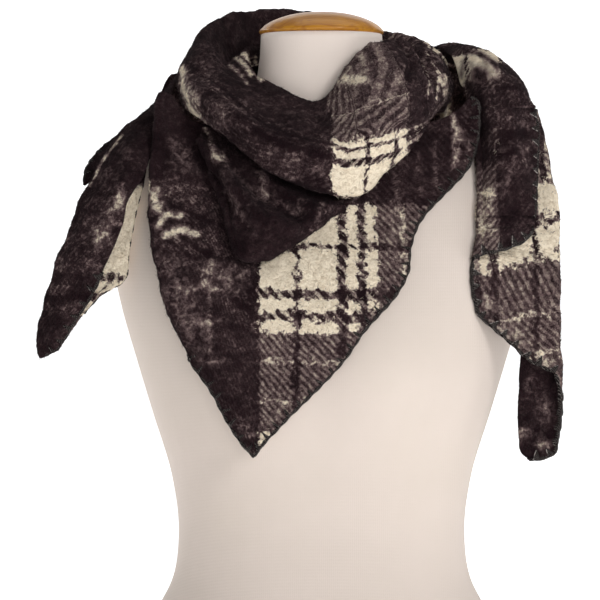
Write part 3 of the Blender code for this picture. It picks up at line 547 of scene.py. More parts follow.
# Studio lights: name, place and aim in metres, and size
LIGHTS = (
    ("key", (1.5, -2.4, 1.45), (0, 0, 0.42), 0.8),
    ("fill", (0.4, -2.95, 0.80), (0, 0, 0.5), 0.9),
    ("top", (0.1, 0.3, 2.4), (0, 0, 0.5), 1.6),
    ("side", (2.9, -0.9, 0.8), (0.1, 0, 0.35), 1.0),
    ("rim", (-2.0, 1.5, 1.1), (-0.1, 0, 0.45), 0.9),
)
FLOOR_WIDTH, FLOOR_FRONT, FLOOR_BACK, FLOOR_BEND, WALL_HEIGHT = 14000.0, -3800.0, 5500.0, 900.0, 4200.0
FLOOR_DROP = 0.5  # how far below the form's base it lies


# ---------------------------------------------------------------- curves and tables
def columns(names, rows):
    """The rows of a table as one array for each named column."""
    return dict(zip(names, np.array(rows, float).T))


def smooth(at, knots, values):
    """Cubic pieces through values at rising knots, with slopes averaged from both neighbours."""
    knots, values = np.asarray(knots, float), np.asarray(values, float)
    steps = np.diff(knots)
    slopes = np.diff(values) / steps
    inner = (slopes[:-1] * steps[1:] + slopes[1:] * steps[:-1]) / (steps[:-1] + steps[1:])
    tangents = np.concatenate([slopes[:1], inner, slopes[-1:]])
    at = np.clip(at, knots[0], knots[-1])
    i = np.clip(np.searchsorted(knots, at, side="right") - 1, 0, len(steps) - 1)
    h = steps[i]
    t = (at - knots[i]) / h
    start = values[i] * (1 + 2 * t) * (1 - t) ** 2 + h * tangents[i] * t * (1 - t) ** 2
    return start + values[i + 1] * t * t * (3 - 2 * t) + h * tangents[i + 1] * t * t * (t - 1)


def smooth_rows(at, knots, rows):
    """smooth() for every number of an array whose first axis follows the knots."""
    flat = np.asarray(rows, float).reshape(len(rows), -1)
    out = np.stack([smooth(at, knots, column) for column in flat.T], axis=-1)
    return out.reshape((len(at),) + np.asarray(rows).shape[1:])


def unit(vectors):
    """Vectors divided by their lengths."""
    return vectors / np.maximum(np.linalg.norm(vectors, axis=-1, keepdims=True), 1e-9)


def ramp(value, start, width):
    """0 up to the start, 1 past start plus width, and straight between."""
    return np.clip((value - start) / width, 0, 1)


def chord_knots(rows):
    """Running sum of the mean distance from each section to the next."""
    gaps = np.linalg.norm(np.diff(rows, axis=0), axis=-1).mean(axis=-1)
    return np.concatenate([[0.0], np.cumsum(np.maximum(gaps, 1e-6))])


def resample(line, count, flat_step=4.0, bend_step=math.radians(14)):
    """A line at equal steps of length over flat_step plus bend over bend_step."""
    steps = np.diff(line, axis=0)
    lengths = np.linalg.norm(steps, axis=1)
    kept = lengths > 1e-6
    line = np.concatenate([line[:1], line[1:][kept]])
    steps, lengths = steps[kept], lengths[kept]
    heading = steps / lengths[:, None]
    bends = np.arccos(np.clip((heading[1:] * heading[:-1]).sum(axis=1), -1, 1))
    bends = np.concatenate([[0.0], bends]) + np.concatenate([bends, [0.0]])
    knots = np.concatenate([[0.0], np.cumsum(lengths / flat_step + bends / 2 / bend_step)])
    at = np.linspace(0.0, knots[-1], count)
    return np.stack([np.interp(at, knots, axis) for axis in line.T], axis=-1)


def section(points, count):
    """A smooth line through a section's points, at equal steps along it."""
    points = np.asarray(points, float)
    knots = chord_knots(points[:, None, :])
    return resample(smooth_rows(np.linspace(0.0, knots[-1], 12 * len(points)), knots, points), count)


def joined(*parts):
    """One line from parts that follow each other, each a line and how many points it gets."""
    line = []
    for points, count in parts:
        knots = chord_knots(np.asarray(points, float)[:, None, :])
        at = np.linspace(0.0, knots[-1], count)
        part = np.stack([np.interp(at, knots, axis) for axis in np.transpose(points)], axis=-1)
        line.extend(part if not line else part[1:])
    return np.array(line)


def half_turn(centre, start, middle):
    """Centre + start times the cosine + middle times the sine, from 0 to half a turn."""
    swing = np.linspace(0.0, math.pi, HALF_TURN_POINTS)[:, None]
    return np.asarray(centre) + np.cos(swing) * np.asarray(start) + np.sin(swing) * np.asarray(middle)


def loft_lines(lines, along):
    """A grid over a run of lines that have as many points as each other."""
    lines = np.asarray(lines)
    knots = chord_knots(lines)
    return smooth_rows(np.linspace(0.0, knots[-1], along), knots, lines)


def table(points, at):
    """A value read from (where, value) pairs, on a smooth curve through them."""
    where, value = np.array(points, float).T
    return smooth(at, where, value)


# ---------------------------------------------------------------- the form, as a shape to lie on
def signed_power(value, power):
    """The size of a value to a power, with the value's own sign."""
    return np.sign(value) * np.abs(value) ** power


def bust(x, z):
    """A rise times e to the minus squared distance from the fullest point of that side."""
    away = (np.abs(x) - BUST_SIDE) ** 2 + (z - BUST_HEIGHT) ** 2
    return BUST_RISE * np.exp(-away / BUST_SPREAD**2)


def form_levels(z):
    """The form's half-width, front and back depth at a height, on smooth curves through its rows."""
    form = columns(FORM_COLUMNS, FORM)
    return [smooth(z, form["z"], form[name]) for name in FORM_COLUMNS[1:]]


def form_level_of(points):
    """The power mean of x over half-width and y over depth: 1 on the form's skin, more outside."""
    x, y, z = np.moveaxis(points, -1, 0)
    half_width, front, back = form_levels(z)
    depth = np.where(y < 0, front + bust(x, z), back)
    return (np.abs(x / half_width) ** ROUNDNESS + np.abs(y / depth) ** ROUNDNESS) ** (1 / ROUNDNESS)


def laid_on_form(points, step=0.5, rounds=6):
    """The points, those nearer to the form's skin than the cloth lies moved out square to it."""
    for _ in range(rounds):
        level = form_level_of(points)
        slope = [(form_level_of(points + step * axis) - level) / step for axis in np.eye(3)]
        slope = np.stack(slope, axis=-1)
        size = np.linalg.norm(slope, axis=-1)
        short = np.maximum(REST + CLOTH / 2 - (level - 1) / size, 0.0)
        short = np.where(points[..., 2] > FORM[-1][0], 0.0, short)
        points = points + (short / size)[..., None] * slope
    return points


# ---------------------------------------------------------------- folds that the cloth has besides
def ripples(points, seed, size, depth):
    """A sum of sine waves through space, in directions and with phases drawn from the seed."""
    draw = np.random.default_rng(seed)
    total = np.zeros(points.shape[:-1])
    for _ in range(RIPPLE_WAVES):
        way = unit(draw.normal(size=3))
        wave = 2 * math.pi / (size * draw.uniform(*RIPPLE_SPREAD))
        total += np.sin(points @ way * wave + draw.uniform(0, 2 * math.pi))
    return depth * total / math.sqrt(RIPPLE_WAVES)


def nearness(points, path, width):
    """e to the minus squared distance, seen from the front, to a path of (x, z) points, over width."""
    flat = points[..., (0, 2)]
    best = np.full(flat.shape[:-1], np.inf)
    path = np.asarray(path, float)
    for start, end in zip(path[:-1], path[1:]):
        run = end - start
        share = np.clip(((flat - start) @ run) / (run @ run), 0, 1)
        best = np.minimum(best, np.linalg.norm(flat - start - share[..., None] * run, axis=-1))
    return np.exp(-((best / width) ** 2))


def seen(pixels):
    """Picture places as x and z in millimetres, at the depth of the scarf's front."""
    near = 1 - FRONT_DEPTH * MM / CAMERA_DISTANCE
    eye = np.array((CAMERA_SIDE, CAMERA_HEIGHT)) / MM
    px, py = np.array(pixels, float).T
    return eye + (np.stack([px - CENTRE_PIXEL, BASE_PIXEL - py], axis=-1) * PIXEL - eye) * near


def picture_places(grid, near, shift=0.0):
    """The columns and rows of the picture where a grid is seen.

    x and the height over the camera's are divided by near, the grid's distance as a share of the
    form's, and by the size of a pixel. The columns are then shifted to the left.
    """
    eye = CAMERA_HEIGHT / MM
    px = grid[..., 0] / PIXEL / near + CENTRE_PIXEL - shift
    return px, BASE_PIXEL - (eye + (grid[..., 2] - eye) / near) / PIXEL


def weft(rows, start, stretch):
    """The weft that is seen in a row of the picture: the first cream stripe starts in one row."""
    return SETT[1][0] + (rows - start) * PIXEL * stretch


def creased(grid, creases):
    """The grid moved forward along its normals by each crease's depth times its nearness."""
    normals = grid_normals(grid)
    move = np.zeros(grid.shape[:-1])
    for path, depth, width in creases:
        move += depth * nearness(grid, seen(path), width)
    return grid - (move * np.sign(normals[..., 1]))[..., None] * normals


def draped(grid, waves, creases=(), lay=laid_on_form, fade=1.0):
    """The grid laid on the form, rippled along its normals, laid again and creased.

    Each wave is a seed, a wavelength and a depth. The fade scales their sum.
    """
    grid = lay(grid)
    move = fade * sum(ripples(grid, *wave) for wave in waves)
    return creased(lay(grid + move[..., None] * grid_normals(grid)), creases)


def tufted(grid, seed):
    """The grid moved along its normals by chance, averaged with the four neighbours."""
    chance = np.random.default_rng(seed).normal(size=grid.shape[:2])
    near = chance.copy()
    for axis in (0, 1):
        near += np.roll(chance, 1, axis) + np.roll(chance, -1, axis)
    return grid + (TUFT_DEPTH * near / 3)[..., None] * grid_normals(grid)


# ---------------------------------------------------------------- walls of cloth
def grid_normals(grid):
    """The cross product of the slopes along and across, as unit vectors."""
    return unit(np.cross(np.gradient(grid, axis=0), np.gradient(grid, axis=1)))


def grid_faces(rows, across, start=0):
    """Corner numbers of the faces of a grid of points."""
    index = start + np.arange(rows * across).reshape(rows, across)
    corners = [index[:-1, :-1], index[:-1, 1:], index[1:, 1:], index[1:, :-1]]
    return np.stack(corners, axis=-1).reshape(-1, 4)


def ring_faces(rings, sides, start=0):
    """Corner numbers of a tube's faces, and of the fans that close it on a middle point at each end."""
    index = start + np.arange(rings * sides).reshape(rings, sides)
    ahead = np.roll(index, -1, axis=1)
    quads = np.stack([index[:-1], ahead[:-1], ahead[1:], index[1:]], axis=-1).reshape(-1, 4)
    foot = start + rings * sides
    fans = [
        np.stack([np.full(sides, foot), ahead[0], index[0]], axis=-1),
        np.stack([np.full(sides, foot + 1), index[-1], ahead[-1]], axis=-1),
    ]
    return quads, np.concatenate(fans)


def ring_of(rows, across):
    """Numbers of a grid's points round its edge."""
    index = np.arange(rows * across).reshape(rows, across)
    return np.concatenate([index[0, :-1], index[:-1, -1], index[-1, :0:-1], index[:0:-1, 0]])


def edge_outward(grid):
    """Unit vectors that point off the cloth at each point of its edge, in the cloth's own plane."""
    out = np.zeros_like(grid)
    out[0] += unit(grid[0] - grid[1])
    out[-1] += unit(grid[-1] - grid[-2])
    out[:, 0] += unit(grid[:, 0] - grid[:, 1])
    out[:, -1] += unit(grid[:, -1] - grid[:, -2])
    return unit(out)


def wall(grid, weave, shade, thickness):
    """Points, faces, weave places and shade of a cloth wall with a round edge.

    The two sides lie half the thickness off the grid along its normals. The edge is a half circle
    from one side to the other, cosine along the normal and sine off the cloth.
    """
    rows, across = grid.shape[:2]
    normals, outward = grid_normals(grid), edge_outward(grid)
    half = thickness / 2
    sides = [(grid + normals * half).reshape(-1, 3), (grid - normals * half).reshape(-1, 3)]
    ring = ring_of(rows, across)
    flat, flat_normals, flat_out = (a.reshape(-1, 3)[ring] for a in (grid, normals, outward))
    rims = []
    for turn in np.radians(RIM_TURNS):
        rims.append(flat + half * (math.cos(turn) * flat_normals + RIM_REACH * math.sin(turn) * flat_out))
    size = rows * across
    loops = [ring, *(2 * size + k * len(ring) + np.arange(len(ring)) for k in range(3)), ring + size]
    faces = [grid_faces(rows, across)[:, ::-1], grid_faces(rows, across, size)]
    for low, high in zip(loops[:-1], loops[1:]):
        faces.append(np.stack([np.roll(low, -1), low, high, np.roll(high, -1)], axis=-1)[:, ::-1])
    weave, shade = weave.reshape(-1, 2), shade.reshape(-1)
    weave = np.concatenate([weave, weave] + [weave[ring]] * 3)
    shade = np.concatenate([shade, shade] + [shade[ring]] * 3)
    return np.concatenate(sides + rims), np.concatenate(faces), weave, shade


def add_mesh(name, points, faces, finish, weave=None, shade=None):
    """A mesh object from points in millimetres, faces with equal corner counts in each array."""
    groups = faces if isinstance(faces, list) else [faces]
    mesh = bpy.data.meshes.new(name)
    mesh.vertices.add(len(points))
    mesh.vertices.foreach_set("co", (np.asarray(points) * MM).astype(np.float32).ravel())
    corners = np.concatenate([group.ravel() for group in groups]).astype(np.int32)
    counts = np.concatenate([np.full(len(group), group.shape[1]) for group in groups])
    mesh.loops.add(len(corners))
    mesh.loops.foreach_set("vertex_index", corners)
    mesh.polygons.add(len(counts))
    mesh.polygons.foreach_set("loop_start", (np.cumsum(counts) - counts).astype(np.int32))
    if weave is not None:
        layer = mesh.uv_layers.new(name="Weave")
        layer.data.foreach_set("uv", (np.asarray(weave)[corners] * MM).astype(np.float32).ravel())
    if shade is not None:
        values = mesh.attributes.new("shade", "FLOAT", "POINT")
        values.data.foreach_set("value", np.asarray(shade, np.float32).ravel())
    mesh.update(calc_edges=True)
    mesh.validate()
    mesh.shade_smooth()
    mesh.materials.append(finish)
    item = bpy.data.objects.new(name, mesh)
    bpy.context.collection.objects.link(item)
    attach(item, "root")
    return item


def fuzz(name, grid, weave, shade, count, seed, length, finish):
    """Loose wool hairs over a wall: each a slim pointed spike of four faces, rooted in the cloth.

    A hair starts at a place drawn at random by area, leans a random way over the cloth and rises
    from it by a sine of its lean. Its length is drawn round the given one.
    """
    draw = np.random.default_rng(seed)
    normals = grid_normals(grid)
    area = cell_areas(grid).ravel()
    cell = draw.choice(len(area), size=count, p=area / area.sum())
    i, j = np.divmod(cell, grid.shape[1] - 1)
    s, t = draw.uniform(size=(2, count, 1))

    def between(values):
        values = values.reshape(values.shape[0], values.shape[1], -1)
        low = values[i, j] * (1 - t) + values[i, j + 1] * t
        high = values[i + 1, j] * (1 - t) + values[i + 1, j + 1] * t
        return low * (1 - s) + high * s

    up = unit(between(normals)) * draw.choice((1.0, -1.0), size=(count, 1))
    start = between(grid) + up * (CLOTH / 2 - HAIR_ROOT)
    along = unit(np.cross(up, draw.normal(size=(count, 3))))
    lean = np.radians(draw.uniform(*HAIR_LEAN, size=(count, 1)))
    way = np.cos(lean) * along + np.sin(lean) * up
    reach = length * draw.uniform(*HAIR_REACH, size=(count, 1))
    flank = unit(np.cross(way, up))
    girth = draw.uniform(*HAIR_GIRTH, size=(count, 1))
    root = [start + flank * girth, start - flank * girth, start + np.cross(flank, way) * girth * 1.2]
    tip = start + way * reach
    points = np.stack(root + [tip], axis=1).reshape(-1, 3)
    first = 4 * np.arange(count)[:, None]
    faces = np.concatenate([first + np.array(f) for f in ((0, 2, 1), (0, 1, 3), (1, 2, 3), (2, 0, 3))])
    place = between(weave) + draw.normal(size=(count, 2)) * HAIR_FROM
    tone = between(shade[..., None]) - np.abs(draw.normal(size=(count, 1))) * HAIR_DARKER
    place, tone = np.repeat(place, 4, axis=0), np.repeat(tone, 4, axis=0)
    item = add_mesh(name, points, faces, finish, place, tone)
    return item


def arc_lengths(grid, axis):
    """Running distance over the grid along one axis, from 0 at its start."""
    gaps = np.linalg.norm(np.diff(grid, axis=axis), axis=-1)
    pad = [(0, 0), (0, 0)]
    pad[axis] = (1, 0)
    return np.cumsum(np.pad(gaps, pad), axis=axis)


def cell_areas(grid):
    """Area of each cell of a grid: the length of the cross product of its two sides."""
    return np.linalg.norm(np.cross(grid[1:, :-1] - grid[:-1, :-1], grid[:-1, 1:] - grid[:-1, :-1]), axis=-1)


def tube(centre, across, upward):
    """Rings round a line: its points plus the cosine times across and the sine times upward."""
    turn = np.linspace(0, 2 * math.pi, STRAND_SIDES, endpoint=False)[:, None]
    return centre[:, None] + np.cos(turn) * across[:, None] + np.sin(turn) * upward[:, None]


def blanket_stitches(name, path, inward, normals, finishes, pitch, leg, girth):
    """A yarn along an edge and stitches over it, on both faces of the cloth.

    The yarn is a tube round the path, its radius swelling at each stitch. A stitch is a flattened
    spindle from the edge inwards, its width falling as a power of what is left. A wide one has a
    thin pale strand along its flank, a painted highlight of the yarn. Where the edge turns over a
    fold there is no stitch.
    """
    away = np.linalg.norm(np.diff(path, axis=0), axis=1)
    run = np.concatenate([[0.0], np.cumsum(away)])
    draw = np.random.default_rng(len(name))

    def at(where, values):
        return np.stack([np.interp(where, run, axis) for axis in values.T], axis=-1)

    fine = np.linspace(0, run[-1], max(8, int(run[-1] / CORD_STEP)))
    centre, off, up = at(fine, path), unit(at(fine, inward)), unit(at(fine, normals))
    radius = (CORD_RADIUS if girth else BARE_CORD_RADIUS) + CORD_SWELL * np.cos(2 * math.pi * fine / pitch)
    radius = (radius + CORD_UNEVEN * np.sin(fine * 2.1))[:, None]
    cord = tube(centre - off * CORD_SINK, radius * -off, CORD_FLAT * radius * up)
    strands = [(cord, centre, 0)]
    share = np.linspace(0, 1, STITCH_RINGS)
    for where in np.arange(pitch * STITCH_FIRST, run[-1] - 2, pitch) if girth else ():
        before, after = unit(at([where - leg, where + leg], normals))
        if before @ after < STITCH_TURN:
            continue
        lean = draw.uniform(-STITCH_LEAN, STITCH_LEAN)
        off = unit(at([where], inward))
        for side, root in zip((1.0, -1.0), girth):
            reach = leg * draw.uniform(*STITCH_REACH)
            base = at(where + lean * share, path) + off * (share[:, None] * reach - STITCH_OVER)
            lift = unit(at([where], normals)) * side
            along = unit(np.cross(lift, off))
            width = (STITCH_TIP + root * (1 - share) ** STITCH_NARROWS)[:, None]
            high = (STITCH_TIP + STITCH_HIGH * np.sqrt(1 - share * 0.97))[:, None]
            middle = base + lift * CLOTH / 2
            strands.append((tube(middle, width * along, high * lift), middle, 0))
            # painted highlight: a thin strand of the pale glinting yarn along the stitch's flank
            if girth[0] > GLINT_FROM:
                middle = base + along * (width * GLINT_OUT) + lift * (CLOTH / 2 + GLINT_UP)
                thin = np.full((STITCH_RINGS, 1), GLINT_STRAND)
                strands.append((tube(middle, thin * along, thin * lift), middle, 1))

    points, quads, fans, glint, count = [], [], [], [], 0
    for rings, middle, finish in strands:
        for kind, faces in zip((quads, fans), ring_faces(len(rings), STRAND_SIDES, count)):
            kind.append(faces)
        glint.append(finish)
        points += [rings.reshape(-1, 3), middle[:1], middle[-1:]]
        count += rings.shape[0] * STRAND_SIDES + 2
    item = add_mesh(name, np.concatenate(points), [np.concatenate(quads), np.concatenate(fans)], finishes[0])
    item.data.materials.append(finishes[1])
    slots = np.concatenate([np.repeat(glint, [len(f) for f in kind]) for kind in (quads, fans)])
    item.data.polygons.foreach_set("material_index", slots.astype(np.int32))
    recalculate(item)
    return item


def recalculate(item):
    """Turns every face of a mesh of closed shells outwards."""
    work = bmesh.new()
    work.from_mesh(item.data)
    bmesh.ops.recalc_face_normals(work, faces=work.faces)
    work.to_mesh(item.data)
    work.free()


# ---------------------------------------------------------------- materials
def operator(operation, reflected=False):
    """A method of Sum that adds one Math node, with its values swapped where it is reflected."""

    def method(self, other):
        return self.maths(operation, other, self) if reflected else self.maths(operation, self, other)

    return method


class Sum:
    """A value socket in a shader, with the operators that add Math nodes."""

    __add__, __radd__ = operator("ADD"), operator("ADD", True)
    __sub__, __rsub__ = operator("SUBTRACT"), operator("SUBTRACT", True)
    __mul__, __rmul__ = operator("MULTIPLY"), operator("MULTIPLY", True)
    __truediv__, __rtruediv__ = operator("DIVIDE"), operator("DIVIDE", True)
    __pow__, least, most = operator("POWER"), operator("MINIMUM"), operator("MAXIMUM")

    def __init__(self, nodes, socket):
        self.nodes, self.socket = nodes, socket

    def maths(self, operation, *values):
        """A Math node on the values, which are plain numbers or sockets."""
        node = self.nodes.add("ShaderNodeMath", {"operation": operation}, dict(enumerate(values)))
        return Sum(self.nodes, node.outputs[0])

    def clamped(self, low=0.0, high=1.0):
        """The value, kept from going under low or over high."""
        return self.least(high).most(low)

    def from_to(self, low, high):
        """0 at low and 1 at high, rising smoothly between."""
        settings = {"interpolation_type": "SMOOTHSTEP"}
        node = self.nodes.add("ShaderNodeMapRange", settings, {0: self, 1: low, 2: high})
        return Sum(self.nodes, node.outputs[0])


class Nodes:
    """The nodes of one material, which starts with its shader and the place on the object."""

    def __init__(self, name):
        self.material = bpy.data.materials.new(name)
        self.material.use_nodes = True
        self.tree = self.material.node_tree
        self.tree.nodes.clear()
        self.shader = self.add("ShaderNodeBsdfPrincipled")
        self.add("ShaderNodeOutputMaterial", None, {0: self.shader.outputs[0]})
        self.place = self.add("ShaderNodeTexCoord").outputs["Object"]

    def put(self, node, name, value):
        """Links a socket to a node's input, or sets a constant on the input itself."""
        value = value.socket if isinstance(value, Sum) else value
        if isinstance(value, bpy.types.NodeSocket):
            self.tree.links.new(value, node.inputs[name])
        elif value is not None:
            node.inputs[name].default_value = value

    def add(self, kind, settings=None, inputs=None):
        """A node of a kind: its settings first, then the values or links of its sockets."""
        node = self.tree.nodes.new(kind)
        for name, value in (settings or {}).items():
            if name == "stops":
                stops = node.color_ramp.elements
                while len(stops) < len(value):
                    stops.new(1.0)
                for stop, (where, tone) in zip(stops, value):
                    stop.position, stop.color = where, tone
            else:
                setattr(node, name, value)
        for name, value in (inputs or {}).items():
            self.put(node, name, value)
        return node

    def value(self, node, output=0):
        """One output of a node, to reckon with."""
        return Sum(self, node.outputs[output])

    def noise(self, scale, detail=3.0, rough=0.55, distortion=0.0, place=None):
        """Clouds of a scale, in so many halvings of it, each as strong as rough times the last."""
        inputs = {"Vector": place or self.place, "Scale": scale}
        inputs |= {"Detail": detail, "Roughness": rough, "Distortion": distortion}
        return self.value(self.add("ShaderNodeTexNoise", None, inputs))

    def strands(self, scale, width):
        """Curly hairs: 1 where a warped noise crosses its middle, 0 further from there than width."""
        away = self.noise(scale, 2.0, 0.5, 1.3) - 0.5
        return (1.0 - away.maths("ABSOLUTE", away) / width).most(0.0)

    def waves(self, direction, scale, distortion=0.0):
        """Even stripes along a direction."""
        inputs = {"Vector": self.place, "Scale": scale, "Distortion": distortion}
        return self.value(self.add("ShaderNodeTexWave", {"bands_direction": direction}, inputs), 1)

    def mix(self, share, *colours):
        """A colour between two, each three numbers or a socket."""
        first, second = (c if isinstance(c, bpy.types.NodeSocket) else (*c, 1.0) for c in colours)
        return self.add("ShaderNodeMix", {"data_type": "RGBA"}, {0: share, 6: first, 7: second}).outputs[2]

    def bump(self, height, strength, distance):
        """The normal of a relief, at most the distance in metres deep."""
        inputs = {"Strength": strength, "Distance": distance, "Height": height}
        return self.add("ShaderNodeBump", None, inputs).outputs[0]

    def finish(self, colour, roughness, normal=None, **constants):
        """The material, with its colour, roughness and relief, and constants on other sockets."""
        looks = {"Base Color": colour, "Roughness": roughness, "Normal": normal}
        looks |= {name.replace("_", " "): value for name, value in constants.items()}
        for name, value in looks.items():
            self.put(self.shader, name, value)
        return self.material


def plaid_wool(settings):
    """Brushed wool plaid. Both ways of the weave follow one sett, folded back at its two middles.

    A place is cream by the product of its warp and its weft, plus dashes where the ribs of the twill
    carry cream across a thin dark stripe, made uneven by tufts and pile. Where only one of the two is
    cream, flecks and curly hairs of it lie over the dark yarn. A grey stripe is torn ribs of cream.
    The piece's own shade, partly its pattern and partly painted highlights and painted shadows, adds
    cream above 0, takes it away down to -1 and darkens all below that.
    """
    nodes = Nodes("Brushed wool plaid")
    weave = nodes.add("ShaderNodeUVMap", {"uv_map": "Weave"}).outputs[0]
    straight = nodes.add("ShaderNodeSeparateXYZ", None, {0: weave})
    slant = nodes.value(straight, 0) - nodes.value(straight, 1)
    wobble = nodes.noise(120.0, 2.0) * 0.8

    def ribs(repeat, sway, low):
        """Diagonal ribs: a sine of the slant over the repeat, pushed by the wobble, cut at low."""
        lines = (slant / repeat + wobble * sway) * (2 * math.pi)
        return (lines.maths("SINE", lines) * 0.5 + 0.5).from_to(low, 0.8)

    twill, beads = ribs(settings.twill, 1.0, 0.25), ribs(settings.dash, 0.6, 0.3)

    # The stripes wander by three noises: fine hairs, tufts, and the give of the cloth
    moved = weave
    for scale, reach in ((640.0, 0.0048), (165.0, 0.0125), (24.0, 0.007)):
        wander = nodes.add("ShaderNodeTexNoise", None, {0: nodes.place, "Scale": scale, "Detail": 2.0})
        centred = {0: wander.outputs[1], 1: (0.5, 0.5, 0.5)}
        centred = nodes.add("ShaderNodeVectorMath", {"operation": "SUBTRACT"}, centred)
        shift = {0: centred.outputs[0], 1: (reach, reach, 0.0), 2: moved}
        moved = nodes.add("ShaderNodeVectorMath", {"operation": "MULTIPLY_ADD"}, shift).outputs[0]
    parts = nodes.add("ShaderNodeSeparateXYZ", None, {0: moved})
    ways = []
    for output in (0, 1):
        run = nodes.value(parts, output)
        folded = run.maths("PINGPONG", run, SETT_HALF * MM) / (SETT_HALF * MM)
        stripes = nodes.add("ShaderNodeValToRGB", {"stops": sett_stops()}, {0: folded})
        split = nodes.add("ShaderNodeSeparateColor", None, {0: stripes.outputs[0]})
        ways.append([nodes.value(split, channel) for channel in range(3)])
    (warp, warp_thin, warp_grey), (weft, weft_thin, weft_grey) = ways

    curls, fine = nodes.strands(250.0, 0.055), nodes.strands(520.0, 0.060)
    grain, pile = nodes.noise(190.0, 2.0, 0.5, 0.6), nodes.noise(420.0, 3.0, 0.6, 0.8)
    patch = nodes.noise(42.0, 2.0).from_to(0.38, 0.62)
    tufts = (grain * 0.6 + pile * 0.4).from_to(0.49, 0.62)
    torn = (grain * 0.55 + pile * 0.45).from_to(0.36, 0.64)
    # the shade attribute: pattern marks together with painted highlights and painted shadows
    shade = nodes.value(nodes.add("ShaderNodeAttribute", {"attribute_name": "shade"}), 2)
    bare = 1.0 + shade.clamped(-1.0, 0.0)
    dim = 1.0 + (shade + 1.0).clamped(-1.0, 0.0)

    most = warp.most(weft)
    dashes = (warp_thin * weft + weft_thin * warp) * beads
    ribbed = warp_grey.most(weft_grey) * most ** 1.7
    level = (warp * weft) ** 1.2 * (1.0 - ribbed * 0.5) + dashes * 0.38 + shade.most(0.0)
    uneven = ((grain - 0.5) * 1.1 + (pile - 0.5) * 0.5) * (level * 2.4 + 0.08).least(1.0)
    both = (level + uneven).from_to(0.04, 0.86) * bare
    grey = ribbed * (0.01 + twill * 0.25 * (0.45 + torn * 0.75) + torn * 0.06 + curls * 0.14)
    flecks = (0.06 + tufts * 0.66 + curls * 0.34) * (0.25 + patch * 0.75) * (0.5 + twill * 0.7)
    single = (most * 0.5 + (warp + weft) * 0.25) * (1.0 - ribbed * 0.8) * flecks * 0.40 + grey
    hairs = (tufts * 0.8 + curls * 0.5 + fine * 0.25) * (0.10 + patch * 0.90) * 0.042
    cream = ((both + single * (1.0 - both) + hairs) * dim).clamped()

    light = nodes.mix(pile.from_to(0.36, 0.56), settings.cream_shadow, settings.cream)
    light = nodes.mix(cream.from_to(0.12, 0.75), settings.fleck, light)
    deep = nodes.mix(fine * 0.5 + patch * 0.5, settings.black, settings.brown)
    nap = nodes.bump(curls * 0.25 + fine * 0.2 + grain * 0.45 + pile * 0.6, 0.7, 0.0024)
    constants = {"Sheen_Weight": 0.02, "Sheen_Roughness": 0.5, "Specular_IOR_Level": 0.03}
    return nodes.finish(nodes.mix(cream, deep, light), 0.95, nap, **constants)


def sett_stops():
    """The sett as ramp stops: how cream it is in red, thin dark stripes in green, grey ones in blue."""
    stops, before = [], None
    for (end, cream), start in zip(SETT, (0.0, *(end for end, _ in SETT))):
        thin = 1.0 if end - start < THIN_STRIPE and cream < 0.1 else 0.0
        tone = (cream, thin, 1.0 if 0.1 < cream < 0.5 and start else 0.0, 1.0)
        if before is None:
            stops.append((0.0, tone))
        else:
            stops += [((start - SETT_BLUR) / SETT_HALF, before), ((start + SETT_BLUR) / SETT_HALF, tone)]
        before = tone
    return stops


def stitch_yarn(settings):
    """Black wool yarn, twisted, with painted highlights: stripes that climb round it and loose hairs, both
    paler.
    """
    nodes = Nodes("Black stitching yarn")
    hairs = nodes.noise(900.0, 3.0, 0.6, 1.0)
    twist = nodes.waves("DIAGONAL", 330.0)
    # painted highlight: glints where the twist and the loose hairs catch the light
    glint = hairs.from_to(0.60, 0.74).most(twist.from_to(0.955, 1.0) * 0.8)
    colour = nodes.mix(glint, settings.yarn, settings.yarn_light)
    normal = nodes.bump(twist * 0.6 + hairs, 0.8, 0.0008)
    return nodes.finish(colour, 0.85, normal, Sheen_Weight=0.02, Specular_IOR_Level=0.03)


def glint_yarn(settings):
    """Painted highlights of the stitching yarn where it catches the light: pale, broken up by clouds of
    black.
    """
    nodes = Nodes("Worn stitching yarn")
    hairs = nodes.noise(500.0, 3.0, 0.6, 1.0)
    colour = nodes.mix(hairs.from_to(0.44, 0.56), settings.yarn, settings.yarn_light)
    return nodes.finish(colour, 0.7, nodes.bump(hairs, 0.5, 0.0005), Specular_IOR_Level=0.1)


def jersey(settings):
    """Cream cotton jersey: fine ribs and rows of knit, uneven in tone, with painted light that makes it paler
    up the neck.
    """
    nodes = Nodes("Cream jersey")
    colour = nodes.mix(nodes.noise(9.0).from_to(0.3, 0.7), settings.jersey, settings.jersey_shadow)
    height = nodes.value(nodes.add("ShaderNodeSeparateXYZ", None, {0: nodes.place}), 2)
    # painted light: paler up the neck
    colour = nodes.mix(height.from_to(*NECK_LIT_HEIGHTS), colour, settings.jersey_neck_lit)
    knit = nodes.waves("X", 190.0, 0.6) * 0.5 + nodes.waves("Z", 260.0, 0.6) * 0.5
    normal = nodes.bump(knit + nodes.noise(1400.0, 2.0) * 0.6, 0.22, 0.0006)
    return nodes.finish(colour, 0.86, normal, Sheen_Weight=0.08, Specular_IOR_Level=0.25)


